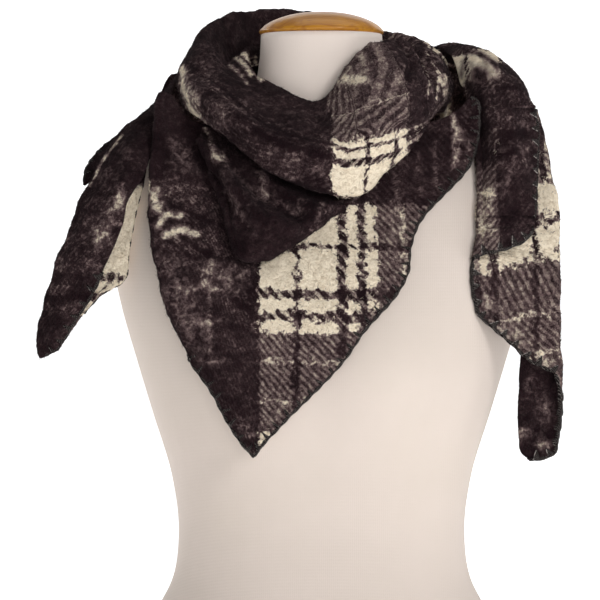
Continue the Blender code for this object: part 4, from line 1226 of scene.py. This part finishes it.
def honey_wood(settings):
    """Clear-varnished wood: rings drawn out along one axis, with fine pores."""
    nodes = Nodes("Varnished honey wood")
    along = {0: nodes.place, "Scale": (9.0, 60.0, 70.0)}
    along = nodes.add("ShaderNodeMapping", None, along).outputs[0]
    rings, pores = nodes.noise(2.2, 4.0, 0.6, 1.2, along), nodes.noise(16.0, 4.0, 0.7, 0.0, along)
    colour = nodes.mix(rings.from_to(0.35, 0.68), settings.wood, settings.wood_dark)
    colour = nodes.mix(pores.from_to(0.58, 0.8) * 0.25, colour, settings.wood_dark)
    normal = nodes.bump(pores, 0.08, 0.0004)
    constants = {"Coat_Weight": 0.22, "Coat_Roughness": 0.15, "Specular_IOR_Level": 0.3}
    return nodes.finish(colour, 0.34 + rings * 0.1, normal, **constants)


def pale_floor(settings):
    """Matt white, so slightly uneven that it looks plain, with a glow of its own."""
    nodes = Nodes("Pale floor")
    colour = nodes.mix(nodes.noise(3.0, 2.0), settings.floor, settings.floor_shadow)
    glow = {"Emission_Color": (1.0, 1.0, 1.0, 1.0), "Emission_Strength": settings.floor_glow}
    return nodes.finish(colour, 0.9, None, Specular_IOR_Level=0.1, **glow)


made = {}


def material(kind):
    """The one material of a kind, made when it is first asked for."""
    if kind not in made:
        made[kind] = kind(bpy.context.scene.scarf_finish)
    return made[kind]


# ---------------------------------------------------------------- cloth pieces
def cloth(name, grid, weave, shade, hems=()):
    """One stretch of the scarf: its wall and its hairs, with the part that it stands for hidden."""
    settings = bpy.context.scene.scarf_cloth
    node, hairs, rests_on, held = PIECES[name]
    grid = tufted(grid, len(name))
    points, faces, places, shades = wall(grid, weave, shade, settings.thickness / MM)
    item = add_mesh(name, points, faces, material(plaid_wool), places, shades)
    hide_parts(node)
    pile = fuzz(
        name + "_fuzz", grid, weave, shade, int(hairs * settings.hair_share), len(name) * 7,
        settings.hair_length / MM, material(plaid_wool),
    )


def round_neck(angle, radius, z):
    """A point at an angle round the neck, 0 in front and rising to the right."""
    turn = math.radians(angle)
    return (radius * math.sin(turn), -radius * math.cos(turn), z)


def roll_section(row):
    """A smooth line from the lip to the fold, then two thirds of a half turn and a tuck."""
    angle, lip_r, lip_z, *pairs = row
    fold_r, fold_z = pairs[-2:]
    line = [(lip_r + LIP_TUCK[0], lip_z + LIP_TUCK[1]), (lip_r, lip_z), *zip(pairs[:-2:2], pairs[1:-2:2])]
    line.append((fold_r, fold_z + FOLD_TURN))
    line = section([(r, 0.0, z) for r, z in line], ROLL_POINTS)
    turn = half_turn((fold_r - FOLD_TURN, 0.0, fold_z + FOLD_TURN), (FOLD_TURN, 0, 0), (0, 0, -FOLD_TURN))
    way = unit(turn[ROLL_TURN_POINTS] - turn[ROLL_TURN_POINTS - 2])
    tuck = turn[ROLL_TURN_POINTS - 1] + np.outer(np.linspace(0, ROLL_TUCK, 3), way)
    line = joined((line, ROLL_POINTS), (turn[:ROLL_TURN_POINTS], 10), (tuck, 3))
    return [round_neck(angle, r, z) for r, _, z in line]


def ring_grid(lines, angles, first, last, along):
    """A grid over lines that stand round the neck, smooth in angle, radius and height."""
    lines = np.asarray(lines)
    radius = np.hypot(lines[..., 0], lines[..., 1])
    turn = np.radians(np.asarray(angles, float))
    swing = np.arctan2(lines[..., 0], -lines[..., 1]) - turn[:, None]
    swing = (swing + math.pi) % (2 * math.pi) - math.pi
    polar = np.stack([turn[:, None] + swing, radius, lines[..., 2]], axis=-1)
    at = np.radians(np.linspace(first, last, along))
    turns, radii, heights = np.moveaxis(smooth_rows(at, turn, polar), -1, 0)
    grid = np.stack([radii * np.sin(turns), -radii * np.cos(turns), heights], axis=-1)
    return grid, np.degrees(at)


def from_fold(grid, fold_column):
    """Distance over the cloth from the roll's lower fold up, negative past the fold."""
    run = arc_lengths(grid, 1)
    return run[:, fold_column, None] - run


def spots(grid, marks):
    """Sum of soft oval marks seen from the front: place in the picture, size in pixels, amount."""
    total = np.zeros(grid.shape[:-1])
    for px, py, wide, high, tilt, amount in marks:
        x, z = seen([(px, py)])[0]
        turn = math.radians(tilt)
        dx, dz = grid[..., 0] - x, grid[..., 2] - z
        a = (dx * math.cos(turn) + dz * math.sin(turn)) / (wide * PIXEL)
        b = (dz * math.cos(turn) - dx * math.sin(turn)) / (high * PIXEL)
        total += amount * np.exp(-(a**2) - b**2)
    return total


def streaks(grid, lines):
    """Sum of soft lines seen from the front: path in the picture, half-width in pixels, amount."""
    return sum(amount * nearness(grid, seen(path), wide * PIXEL) for path, wide, amount in lines)


def build_neck():
    """The roll and the upper band of the back, cut apart from one ring of sections.

    Warp by the angle round the neck, weft by the way up from the fold, which the weft follows where
    it rises to the right.
    """
    lines = [roll_section(row) for row in ROLL]
    angles = [row[0] for row in ROLL]
    seam = math.degrees(ROLL_PART_GAP / ROLL_PART_RADIUS)
    for name, first, last, along, creases in (
        ("scarf_neck_roll_cloth", ROLL_PART_ANGLE + seam, angles[-1], 215, ROLL_CREASES),
        ("scarf_back_upper_cloth", angles[0], ROLL_PART_ANGLE - seam, 104, ()),
    ):
        grid, at = ring_grid(lines, angles, first, last, along)
        grid = draped(grid, ROLL_RIPPLES, creases)
        up = from_fold(grid, ROLL_POINTS)
        fold = np.interp(at, angles, [row[-1] for row in ROLL])
        up = up + (ROLL_RISE * np.where(at > ROLL_LOWEST[0], fold - ROLL_LOWEST[1], 0.0))[:, None]
        across = table(ROLL_WARP, at)[:, None] + 0.0 * up
        plain = CREST_SHARE * ramp(up, CREST_FROM, CREST_OVER) * (np.abs(across - CREST_MIDDLE) < CREST_HALF)
        across = across + (CREST_CREAM - across) * plain
        weave = np.stack([across, np.interp(up, *np.transpose(ROLL_WEFT))], axis=-1)
        shade = (spots(grid, ROLL_MARKS) + streaks(grid, ROLL_STREAKS)) * (grid[..., 1] < ROLL_MARKS_DEPTH)
        dark = ROLL_SHADE * ramp(at, ROLL_SHADE_ANGLE, ROLL_SHADE_OVER)[:, None]
        cloth(name, grid, weave, shade - dark * (shade < ROLL_SPARED))


def build_back_lower():
    """The lower band of the back: smooth sections round the neck, weave by length along and across."""
    lines = []
    for angle, *pairs in LOWER:
        lines.append(section([round_neck(angle, r, z) for r, z in zip(pairs[::2], pairs[1::2])], 48))
    angles = [row[0] for row in LOWER]
    grid, _ = ring_grid(lines, angles, angles[0], angles[-1], 116)
    grid = draped(grid, LOWER_RIPPLES)
    weave = np.stack([arc_lengths(grid, 0) + 20.0, arc_lengths(grid, 1) - 40.0], axis=-1)
    cloth("scarf_back_lower_cloth", grid, weave, spots(grid, LOWER_MARKS) * (grid[..., 0] > 0))


def bib_depth(x, z, lift=0.0):
    """Hang times the root of 1 - (x / spread) squared, plus what its edges stand off, plus the lift."""
    bib = columns(BIB_COLUMNS, BIB)
    hang, left, right, left_off, right_off = (
        smooth(z, bib["z"], bib[name]) for name in ("hang", "left", "right", "left_off", "right_off")
    )
    across = np.clip((x - left) / (right - left), 0, 1)
    off = left_off * (1 - across) ** BIB_OFF_POWERS[0] + right_off * across ** BIB_OFF_POWERS[1]
    return -(hang * np.sqrt(1 - (x / BIB_SPREAD) ** 2) + off + lift)


def bib_row(z, count):
    """A level of the bib: what is turned under on its left, a round turn, and its front."""
    bib = columns(BIB_COLUMNS, BIB)
    left, right, turned = (float(smooth(z, bib["z"], bib[name])) for name in ("left", "right", "turned"))
    x = np.linspace(left + FOLD_TURN, right, 120)
    front = np.stack([x, bib_depth(x, z), np.full(120, z)], axis=-1)
    if turned < 0.5:
        return resample(front, count)
    start = front[0]
    arc = min(turned / FOLD_TURN, math.pi)
    swing = np.linspace(arc, 0.0, 24, endpoint=False)
    curl = start + FOLD_TURN * np.stack([-np.sin(swing), 1 - np.cos(swing), 0 * swing], axis=-1)
    rest = max(turned - math.pi * FOLD_TURN, 0.0)
    if rest > 1:
        run = start[0] + np.linspace(rest, 0.0, 20, endpoint=False)
        under = np.stack([run, bib_depth(run, z) + 2 * FOLD_TURN, np.full(20, z)], axis=-1)
        curl = np.concatenate([under, curl])
    return resample(np.concatenate([curl, front]), count)


def build_bib():
    """The point over the chest: level rows, their upper corners raised by a power of how far out."""
    top, corner = BIB[-1][0], BIB[-1][2]
    grid = np.array([bib_row(z, 124) for z in np.linspace(BIB[0][0], top, 140)])
    x, z = grid[..., 0], grid[..., 2]
    side = (np.abs(x) / corner) ** np.where(x < 0, *BIB_CORNER_POWERS)
    grid[..., 2] += BIB_CORNER_RISE * ramp(z, BIB_LIFTED_FROM, top - BIB_LIFTED_FROM) * side
    grid = draped(grid, BIB_RIPPLES, BIB_CREASES)
    px, py = picture_places(grid, *BIB_NEAR)
    rise = np.maximum(BIB_WEFT_TURN - px, 0.0) / (BIB_WEFT_TURN - BIB_WEFT_SIDE)
    rise = BIB_WEFT_RISE * rise**BIB_WEFT_POWER * ramp(py, *BIB_WEFT_ROWS)
    weave = np.stack([table(BIB_WARP, px), weft(py, *BIB_WEFT) + rise], axis=-1)
    shade = spots(grid, BIB_MARKS) + streaks(grid, BIB_STREAKS)
    cloth("scarf_bib_cloth", grid, weave, shade, [hem_along(grid, bib_hem(grid), "scarf_bib_stitches")])


def bib_hem(grid):
    """The bib's edge from its left side down round the point and up its right side, as grid places."""
    rows, across = grid.shape[:2]
    left = [(i, 0) for i in range(int(rows * BIB_HEM_START), 0, -1)]
    foot = [(0, j) for j in range(across)]
    return left + foot + [(i, across - 1) for i in range(1, rows)]


def hem_along(grid, places, name):
    """Blanket stitches, or a plain cord, along a run of a grid's edge places.

    The run's course is averaged over seven places, and the stitches lie square to it in the cloth.
    """
    i, j = np.array(places).T
    path, off, up = grid[i, j], -edge_outward(grid)[i, j], grid_normals(grid)[i, j]
    keep = np.concatenate([[True], np.linalg.norm(np.diff(path, axis=0), axis=1) > 0.05])
    path, off, up = path[keep], off[keep], up[keep]
    course = [np.pad(axis, 3, "edge") for axis in np.gradient(path, axis=0).T]
    course = np.stack([np.convolve(axis, np.ones(7) / 7, "valid") for axis in course], axis=-1)
    square = unit(np.cross(up, course))
    off = square * np.sign((square * off).sum())
    settings = bpy.context.scene.scarf_cloth
    finishes = material(stitch_yarn), material(glint_yarn)
    sizes = settings.stitch_pitch / MM, settings.stitch_depth / MM, STITCH_GIRTHS[name]
    return blanket_stitches(name, path, off, up, finishes, *sizes)


def build_swag():
    """The slack fold: lines from its top down the bib, bulging by a sine, with a half turn and a tuck."""
    swag = columns(SWAG_COLUMNS, SWAG)
    lines = []
    courses = zip(np.gradient(swag["low_x"]), np.gradient(swag["low_z"]))
    for (top_x, top_z, low_x, low_z, slack), course in zip(SWAG, courses):
        course_x, course_z = unit(np.array(course))
        outward = FOLD_TURN * np.array((course_z, 0.0, -course_x))
        share = np.linspace(0.0, 1.0, 60)
        x = top_x + (low_x - outward[0] - top_x) * share
        z = top_z + (low_z - outward[2] - top_z) * share
        lift = SWAG_TOP_LIFT + (SWAG_LIFT - SWAG_TOP_LIFT) * share
        lift += slack * np.sin(math.pi * share**SWAG_SLACK_POWER)
        front = np.stack([x, bib_depth(x, z, lift), z], axis=-1)
        turn = half_turn(front[-1] + (0, FOLD_TURN, 0), (0, -FOLD_TURN, 0), outward)
        tuck = min(SWAG_TUCK, (top_z - low_z) * SWAG_TUCK_SHARE) / FOLD_TURN
        lines.append(joined((front, 66), (turn, 16), (np.array([turn[-1], turn[-1] - tuck * outward]), 5)))
    grid = draped(loft_lines(lines, 120), SWAG_RIPPLES, SWAG_CREASES, lay=np.copy)
    along, down = arc_lengths(grid, 0), arc_lengths(grid, 1)
    weave = np.stack([(along - along[-1].mean() / 2) * 0.55, -44.0 + down * 0.8], axis=-1)
    shade = spots(grid, SWAG_MARKS) + streaks(grid, SWAG_STREAKS)
    cloth("scarf_middle_cloth", grid, weave, shade)


def build_left_tail():
    """The end over the left shoulder: a front lap bulging by a sine, a half turn and a back lap."""
    lines = []
    for row in LEFT:
        front, spine, back = (np.array(row[i : i + 3], float) for i in (0, 3, 6))
        inward = unit((front + back) / 2 - spine)
        outward = unit((front - back) - ((front - back) @ inward) * inward)
        turn = half_turn(spine + FOLD_TURN * inward, FOLD_TURN * outward, -FOLD_TURN * inward)
        share = np.linspace(0.0, 1.0, 40)[:, None]
        lap = front + (turn[0] - front) * share + row[9] * np.sin(math.pi * share) * outward
        lines.append(joined((lap, 44), (turn, 16), (np.array([turn[-1], back]), 26)))
    grid = draped(loft_lines(lines, 150), LEFT_RIPPLES, LEFT_CREASES)
    over = arc_lengths(grid, 1)
    share = over / over[:, -1:]
    _, py = picture_places(grid, *LEFT_NEAR)
    weave = np.stack([LEFT_WARP[0] + LEFT_WARP[1] * share, weft(py, *LEFT_WEFT)], axis=-1)
    strip = ramp(py, STRIP_TOP, STRIP_FADES[0]) * ramp(-py, -STRIP_FOOT, STRIP_FADES[1])
    painted = spots(grid, LEFT_MARKS) + streaks(grid, LEFT_STREAKS)
    shade = np.where(share < 0.5, painted, STRIP_CREAM * strip)
    rows, across = grid.shape[:2]
    front = [(i, 0) for i in range(int(rows * 0.80), rows)] + [(rows - 1, j) for j in range(across // 2)]
    back = [(i, across - 1) for i in range(int(rows * 0.92), int(rows * 0.33), -1)]
    hems = [hem_along(grid, front, "scarf_left_stitches"), hem_along(grid, back, "scarf_left_back_stitches")]
    cloth("scarf_left_cloth", grid, weave, shade, hems)


def build_left_behind():
    """What shows behind the left tail: smooth lines from its inner to its stitched edge."""
    sections = []
    for row in BEHIND:
        inner, outer = np.array(row[:3], float), np.array(row[3:], float)
        sections.append(section([inner, (inner + outer) / 2 + (0, 0, BEHIND_RISE), outer], 20))
    grid = laid_on_form(loft_lines(sections, 50))
    weave = np.stack([arc_lengths(grid, 0) * 0.5 - 20, arc_lengths(grid, 1)], axis=-1)
    hem = hem_along(grid, [(i, grid.shape[1] - 1) for i in range(grid.shape[0])], "scarf_behind_stitches")
    cloth("scarf_behind_cloth", grid, weave, np.full(grid.shape[:2], BEHIND_SHADE), [hem])


def shoulder_weave(px, py):
    """Places on the weave of what is seen at the right shoulder, by its place in the picture."""
    return np.stack([table(SHOULDER_WARP, px), weft(py, *SHOULDER_WEFT)], axis=-1)


def build_arch():
    """The arch over the right shoulder: smooth lines across it, its ripples fading to both ends."""
    sections = [section([row[i : i + 3] for i in (0, 3, 6, 9)], 76) for row in ARCH]
    fade = np.sin(np.linspace(0, math.pi, 140))[:, None] ** 0.5
    grid = draped(loft_lines(sections, 140), ARCH_RIPPLES, ARCH_CREASES, fade=fade)
    px, py = picture_places(grid, *ARCH_NEAR)
    weave = shoulder_weave(px, py) - np.maximum(grid[..., 1], 0.0)[..., None] * (0.0, 0.9)
    torn = 3.0 * np.sin(px / 5.0) + 2.0 * np.sin(px / 2.3 + 1.0)
    low = ramp(py + torn, *TORN_ROW) * ramp(px, *TORN_COLUMN)
    shade = spots(grid, ARCH_MARKS) + streaks(grid, ARCH_STREAKS) - low
    cloth("scarf_shoulder_cloth", grid, weave, shade)


def tail_row(z, count):
    """A level of the right end: three laps joined by two round turns, cut off at the hem.

    Each lap counts 1 along the row. The front lap swells by a skewed sine to a power.
    """
    tail = columns(TAIL_COLUMNS, TAIL)
    values = [float(smooth(z, tail["z"], tail[name])) for name in TAIL_COLUMNS[1:]]
    front_end, inner_fold, outer_fold, back_end, depth, swell, hem = values
    turn, half = TAIL_TURN, LAP_STEPS // 2
    swing, share = np.linspace(0, math.pi, LAP_STEPS), np.linspace(0.0, 1.0, LAP_STEPS)
    inner, outer = inner_fold + turn, outer_fold - turn
    bulge = np.maximum(np.sin(math.pi * (1 - share) ** SWELL_SKEW), 0.0) ** SWELL_POWER
    front = np.stack([front_end - share * (front_end - inner), depth - swell * bulge], axis=-1)
    first = np.stack([inner - turn * np.sin(swing), depth + turn - turn * np.cos(swing)], axis=-1)
    middle = np.linspace((inner, depth + 2 * turn), (outer, depth + 2 * turn), LAP_STEPS)
    second = np.stack([outer + turn * np.sin(swing), depth + 3 * turn - turn * np.cos(swing)], axis=-1)
    back = np.linspace((outer, depth + 4 * turn), (back_end, depth + 4 * turn), LAP_STEPS)
    laps = ((front, first[:half]), (first[half:], middle, second[:half]), (second[half:], back))
    line = []
    for number, lap in enumerate(laps):
        lap = resample(np.concatenate(lap), LAP_POINTS, *LAP_SPACING)
        line.append(np.column_stack([number + np.linspace(0, 1, LAP_POINTS), lap]))
    line = np.concatenate(line)
    at = np.linspace(hem, 3.0, 400)
    x, y = np.interp(at, line[:, 0], line[:, 1]), np.interp(at, line[:, 0], line[:, 2])
    flat_step, bend_step = LAP_SPACING
    bend_step *= 1 + 3 * max(hem - 1, 0)
    cut = resample(np.stack([x, y, np.full(400, z), at * MM], axis=-1), count, flat_step, bend_step)
    return cut[:, :3], cut[:, 3] / MM


def build_right_tail():
    """The end that hangs from the arch: level rows of three laps, each lap with its own weave."""
    heights = []
    for low, high in zip(TAIL[:-1], TAIL[1:]):
        step = ROW_STEPS[0] if abs(low[-1] - high[-1]) < HEM_STEEP else ROW_STEPS[1]
        count = max(2, round((high[0] - low[0]) / step))
        heights.extend(np.linspace(low[0], high[0], count, endpoint=False))
    levels = [tail_row(z, 118) for z in (*heights, TAIL[-1][0])]
    grid, lap = (np.array(part) for part in zip(*levels))
    grid = draped(grid, TAIL_RIPPLES, TAIL_CREASES)
    px, py = picture_places(grid, *TAIL_NEAR)
    down = np.interp(py + (px - 540.0) * LAP_SLANT, *np.transpose(LAP_WEFT))
    middle = np.stack([LAP_WARP[0] + (px - LAP_WARP[1]) * PIXEL * LAP_WARP[2], down], axis=-1)
    back = np.stack([(px - 540.0) * 0.6, (py - 420.0) * 0.4], axis=-1)
    weave = np.where(lap[..., None] < 2.0, middle, back)
    weave = np.where(lap[..., None] < LAP_END, shoulder_weave(px, py), weave)
    front = spots(grid, TAIL_FRONT_MARKS)
    # marks at or under FRONT_BARE lose their cream; the painted shadows among them fall below -1 and darken
    # everything
    front = np.where(front > FRONT_BARE, front, front - 1.0)
    shade = np.where(lap < LAP_END, front, spots(grid, TAIL_MARKS))
    places = [(i, 0) for i in range(grid.shape[0] - 1, -1, -1)] + [(0, j) for j in range(grid.shape[1])]
    cloth("scarf_right_cloth", grid, weave, shade, [hem_along(grid, places, "scarf_right_stitches")])


# ---------------------------------------------------------------- the form and its cap
def build_form():
    """Rings of a power-mean oval, from the flat base up, closed at both ends."""
    z = np.linspace(0.0, FORM[-1][0], 120)
    half_width, front, back = (size[:, None] for size in form_levels(z))
    turn = np.arange(128)[None, :] * 2 * math.pi / 128
    x = half_width * signed_power(np.cos(turn), 2 / ROUNDNESS)
    depth = np.where(np.sin(turn) < 0, front + bust(x, z[:, None]), back)
    y = depth * signed_power(np.sin(turn), 2 / ROUNDNESS)
    rings = np.stack([x, y, np.broadcast_to(z[:, None], x.shape)], axis=-1)
    add_tower("dress_form_body", rings, material(jersey), "form_body")


def build_cap():
    """The cap's profile of radius and height, turned round the upright axis."""
    knots = np.arange(len(CAP), dtype=float)
    profile = smooth_rows(np.linspace(0, len(CAP) - 1, 50), knots, np.array(CAP))
    turn = np.arange(96)[None, :] * 2 * math.pi / 96
    base = FORM[-1][0] + CAP_GAP
    x, y = (profile[:, :1] * way(turn) for way in (np.cos, np.sin))
    rings = np.stack([x, y, np.broadcast_to(base + profile[:, 1:], x.shape)], axis=-1)
    add_tower("dress_form_cap", rings, material(honey_wood), "neck_cap", base + CAP_CROWN)


def add_tower(name, rings, finish, node, top=None):
    """A closed solid of rings, base first, with a middle point on each end, for a node."""
    low, high = rings[0].mean(axis=0), rings[-1].mean(axis=0)
    if top is not None:
        high[2] = top
    points = np.concatenate([rings.reshape(-1, 3), low[None], high[None]])
    item = add_mesh(name, points, list(ring_faces(*rings.shape[:2])), finish)
    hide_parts(node)


# ---------------------------------------------------------------- the stage
def build_stage():
    """The floor, the light and the camera."""
    build_floor()
    build_light()
    build_camera()


def link(name, data, place=(0.0, 0.0, 0.0), turn=(0.0, 0.0, 0.0)):
    """An object in the scene, at a place and turned."""
    item = bpy.data.objects.new(name, data)
    item.location, item.rotation_euler = place, turn
    bpy.context.collection.objects.link(item)
    return item


def build_floor(rows=60):
    """A floor that runs back level, curves up by a quarter circle and rises straight as a wall."""
    run = np.linspace(0, 1, rows)
    bend = ramp(run, 0.5, 0.2) * math.pi / 2
    level = FLOOR_FRONT + run / 0.5 * (FLOOR_BACK - FLOOR_FRONT)
    y = np.where(run < 0.5, level, FLOOR_BACK + FLOOR_BEND * np.sin(bend))
    z = FLOOR_BEND * (1 - np.cos(bend)) - FLOOR_DROP + ramp(run, 0.7, 0.3) * WALL_HEIGHT
    x = np.linspace(-FLOOR_WIDTH / 2, FLOOR_WIDTH / 2, 3)
    grid = np.stack(np.broadcast_arrays(x[None, :], y[:, None], z[:, None]), axis=-1)
    mesh = bpy.data.meshes.new("studio_floor")
    mesh.from_pydata((grid.reshape(-1, 3) * MM).tolist(), [], grid_faces(rows, 3).tolist())
    mesh.update()
    mesh.shade_smooth()
    mesh.materials.append(material(pale_floor))
    link("studio_floor", mesh)


def build_light():
    """A pale surround and square lamps, each turned to where it aims."""
    settings = bpy.context.scene.scarf_stage
    world = bpy.data.worlds.new("Studio")
    world.use_nodes = True
    background = world.node_tree.nodes["Background"]
    background.inputs[0].default_value = (1.0, 1.0, 1.0, 1.0)
    background.inputs[1].default_value = settings.surround
    bpy.context.scene.world = world
    for name, place, aim, size in LIGHTS:
        light = bpy.data.lights.new(name, "AREA")
        light.shape, light.size, light.energy = "SQUARE", size, getattr(settings, name)
        link(name, light, place, direction_turn(np.array(aim) - np.array(place)))


def build_camera():
    """A long lens level with the middle of the picture, looking straight at the chest."""
    camera = bpy.data.cameras.new("camera")
    camera.lens, camera.sensor_width, camera.sensor_fit = LENS, SENSOR, "HORIZONTAL"
    camera.clip_end = CAMERA_REACH
    place = (CAMERA_SIDE, -CAMERA_DISTANCE, CAMERA_HEIGHT)
    bpy.context.scene.camera = link("camera", camera, place, (math.pi / 2, 0.0, 0.0))
    bpy.context.scene.view_settings.view_transform = "Standard"


def direction_turn(way):
    """Euler angles that turn a lamp's -Z to point a given way."""
    flat = math.hypot(way[0], way[1])
    return (math.atan2(flat, -way[2]), 0.0, math.atan2(-way[0], way[1]))


# ---------------------------------------------------------------- settings
def number(name, description, default, **settings):
    """A setting that is a number from 0 up."""
    settings = {"min": 0.0, "default": default, **settings}
    return bpy.props.FloatProperty(name=name, description=description, **settings)


def length(name, description, default):
    """A setting that is a length."""
    return number(name, description, default, unit="LENGTH", precision=4)


def colour(name, description, default):
    """A setting that is a colour."""
    settings = {"size": 3, "subtype": "COLOR", "min": 0.0, "max": 1.0}
    return bpy.props.FloatVectorProperty(name=name, description=description, default=default, **settings)


class ScarfCloth(bpy.types.PropertyGroup):
    """Sizes of the wool and its sewing."""

    thickness: length("Thickness", "Thickness of the brushed cloth", 0.0028)
    hair_length: length("Hair length", "Mean length of the loose hairs", 0.0036)
    hair_share: number("Hairs", "How many loose hairs, 1 being the usual pile", 1.0)
    stitch_pitch: length("Stitch pitch", "From one blanket stitch to the next", 0.013)
    stitch_depth: length("Stitch depth", "How far a blanket stitch reaches in from the edge", 0.0075)


class ScarfFinish(bpy.types.PropertyGroup):
    """Colours of the cloth, the form and the floor."""

    cream: colour("Cream wool", "Yarn of the light stripes", (0.97, 0.85, 0.67))
    cream_shadow: colour("Cream wool, deeper", "Where the cream pile is thin", (0.82, 0.69, 0.52))
    fleck: colour("Cream hairs on black", "Cream yarn where it is thin over the black", (0.60, 0.41, 0.40))
    black: colour("Black wool", "Yarn of the dark stripes", (0.0105, 0.0045, 0.0060))
    brown: colour("Brown-black wool", "Hairs over the dark stripes", (0.024, 0.012, 0.014))
    twill: length("Twill repeat", "From one diagonal rib to the next, along the warp", 0.0066)
    dash: length("Dash repeat", "From one dash to the next along a thin dark stripe", 0.0105)
    yarn: colour("Stitching yarn", "Black yarn of the blanket stitch", (0.0065, 0.0045, 0.0045))
    # painted highlight: the pale colour of the yarn's glints
    yarn_light: colour("Stitching yarn, worn", "Where the yarn catches the light", (0.36, 0.32, 0.30))
    jersey: colour("Jersey", "Cover of the dress form", (0.685, 0.595, 0.535))
    jersey_shadow: colour("Jersey, deeper", "Uneven tone of the cover", (0.66, 0.575, 0.51))
    # painted light: the colour that makes the neck paler
    jersey_neck_lit: colour("Jersey, neck", "Cover of the neck, where it is stretched thin", (0.84, 0.735, 0.665))
    wood: colour("Wood", "Turned neck cap", (0.53, 0.230, 0.014))
    wood_dark: colour("Wood grain", "Darker rings of the cap", (0.36, 0.130, 0.008))
    floor: colour("Floor", "Studio floor and backdrop", (0.93, 0.93, 0.93))
    floor_shadow: colour("Floor, deeper", "Uneven tone of the floor", (0.90, 0.90, 0.90))
    floor_glow: number("Floor glow", "How much the floor shines by itself", 0.74)


class ScarfStage(bpy.types.PropertyGroup):
    """Light of the studio."""

    surround: number("Surround", "Strength of the light from all round", 0.18)
    key: number("Key light", "Power of the light on the right", 31.0)
    fill: number("Fill light", "Power of the light beside the camera", 10.0)
    top: number("Top light", "Power of the light above", 9.0)
    side: number("Side light", "Power of the light that brightens the right flank", 7.0)
    rim: number("Rim light", "Power of the light behind on the left, which lights the pile's edge", 17.0)


class SCARF_OT_form(bpy.types.Operator):
    """Build the jersey torso and its turned wood cap"""

    bl_idname = "scarf.form"
    bl_label = "Dress form"

    def execute(self, context):
        build_form()
        build_cap()
        return {"FINISHED"}


class SCARF_OT_neck(bpy.types.Operator):
    """Build the roll round the neck and the two bands across the back"""

    bl_idname = "scarf.neck"
    bl_label = "Neck roll"

    def execute(self, context):
        build_neck()
        build_back_lower()
        return {"FINISHED"}


class SCARF_OT_front(bpy.types.Operator):
    """Build the point over the chest and the slack fold on it"""

    bl_idname = "scarf.front"
    bl_label = "Front point"

    def execute(self, context):
        build_bib()
        build_swag()
        return {"FINISHED"}


class SCARF_OT_left_end(bpy.types.Operator):
    """Build the end over the left shoulder and the edge behind it"""

    bl_idname = "scarf.left_end"
    bl_label = "Left end"

    def execute(self, context):
        build_left_tail()
        build_left_behind()
        return {"FINISHED"}


class SCARF_OT_right_end(bpy.types.Operator):
    """Build the arch over the right shoulder and the end in three laps"""

    bl_idname = "scarf.right_end"
    bl_label = "Right end"

    def execute(self, context):
        build_arch()
        build_right_tail()
        return {"FINISHED"}


class SCARF_OT_stage(bpy.types.Operator):
    """Build the pale floor, the soft lights and the camera"""

    bl_idname = "scarf.stage"
    bl_label = "Stage"

    def execute(self, context):
        build_stage()
        return {"FINISHED"}


class SCARF_PT_panel(bpy.types.Panel):
    """The scarf's settings and what it is built from"""

    bl_idname = "SCARF_PT_panel"
    bl_label = "Triangle scarf"
    bl_space_type = "VIEW_3D"
    bl_region_type = "UI"
    bl_category = "Scarf"

    def draw(self, context):
        for group in (context.scene.scarf_cloth, context.scene.scarf_finish, context.scene.scarf_stage):
            for name in group.__annotations__:
                self.layout.prop(group, name)
        for operator in OPERATORS:
            self.layout.operator(operator.bl_idname)


OPERATORS = (
    SCARF_OT_form, SCARF_OT_neck, SCARF_OT_front, SCARF_OT_left_end, SCARF_OT_right_end, SCARF_OT_stage,
)
GROUPS = {"scarf_cloth": ScarfCloth, "scarf_finish": ScarfFinish, "scarf_stage": ScarfStage}


def register():
    """Makes the settings, operators and panel known to Blender."""
    for part in (*GROUPS.values(), *OPERATORS, SCARF_PT_panel):
        bpy.utils.register_class(part)
    for name, group in GROUPS.items():
        setattr(bpy.types.Scene, name, bpy.props.PointerProperty(type=group))


def unregister():
    """Takes them back."""
    for name in GROUPS:
        delattr(bpy.types.Scene, name)
    for part in (SCARF_PT_panel, *reversed(OPERATORS), *reversed(GROUPS.values())):
        bpy.utils.unregister_class(part)


def main():
    """Registers the add-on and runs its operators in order."""
    register()
    for operator in OPERATORS:
        group, name = operator.bl_idname.split(".")
        getattr(getattr(bpy.ops, group), name)()


if __name__ == "__main__":
    main()
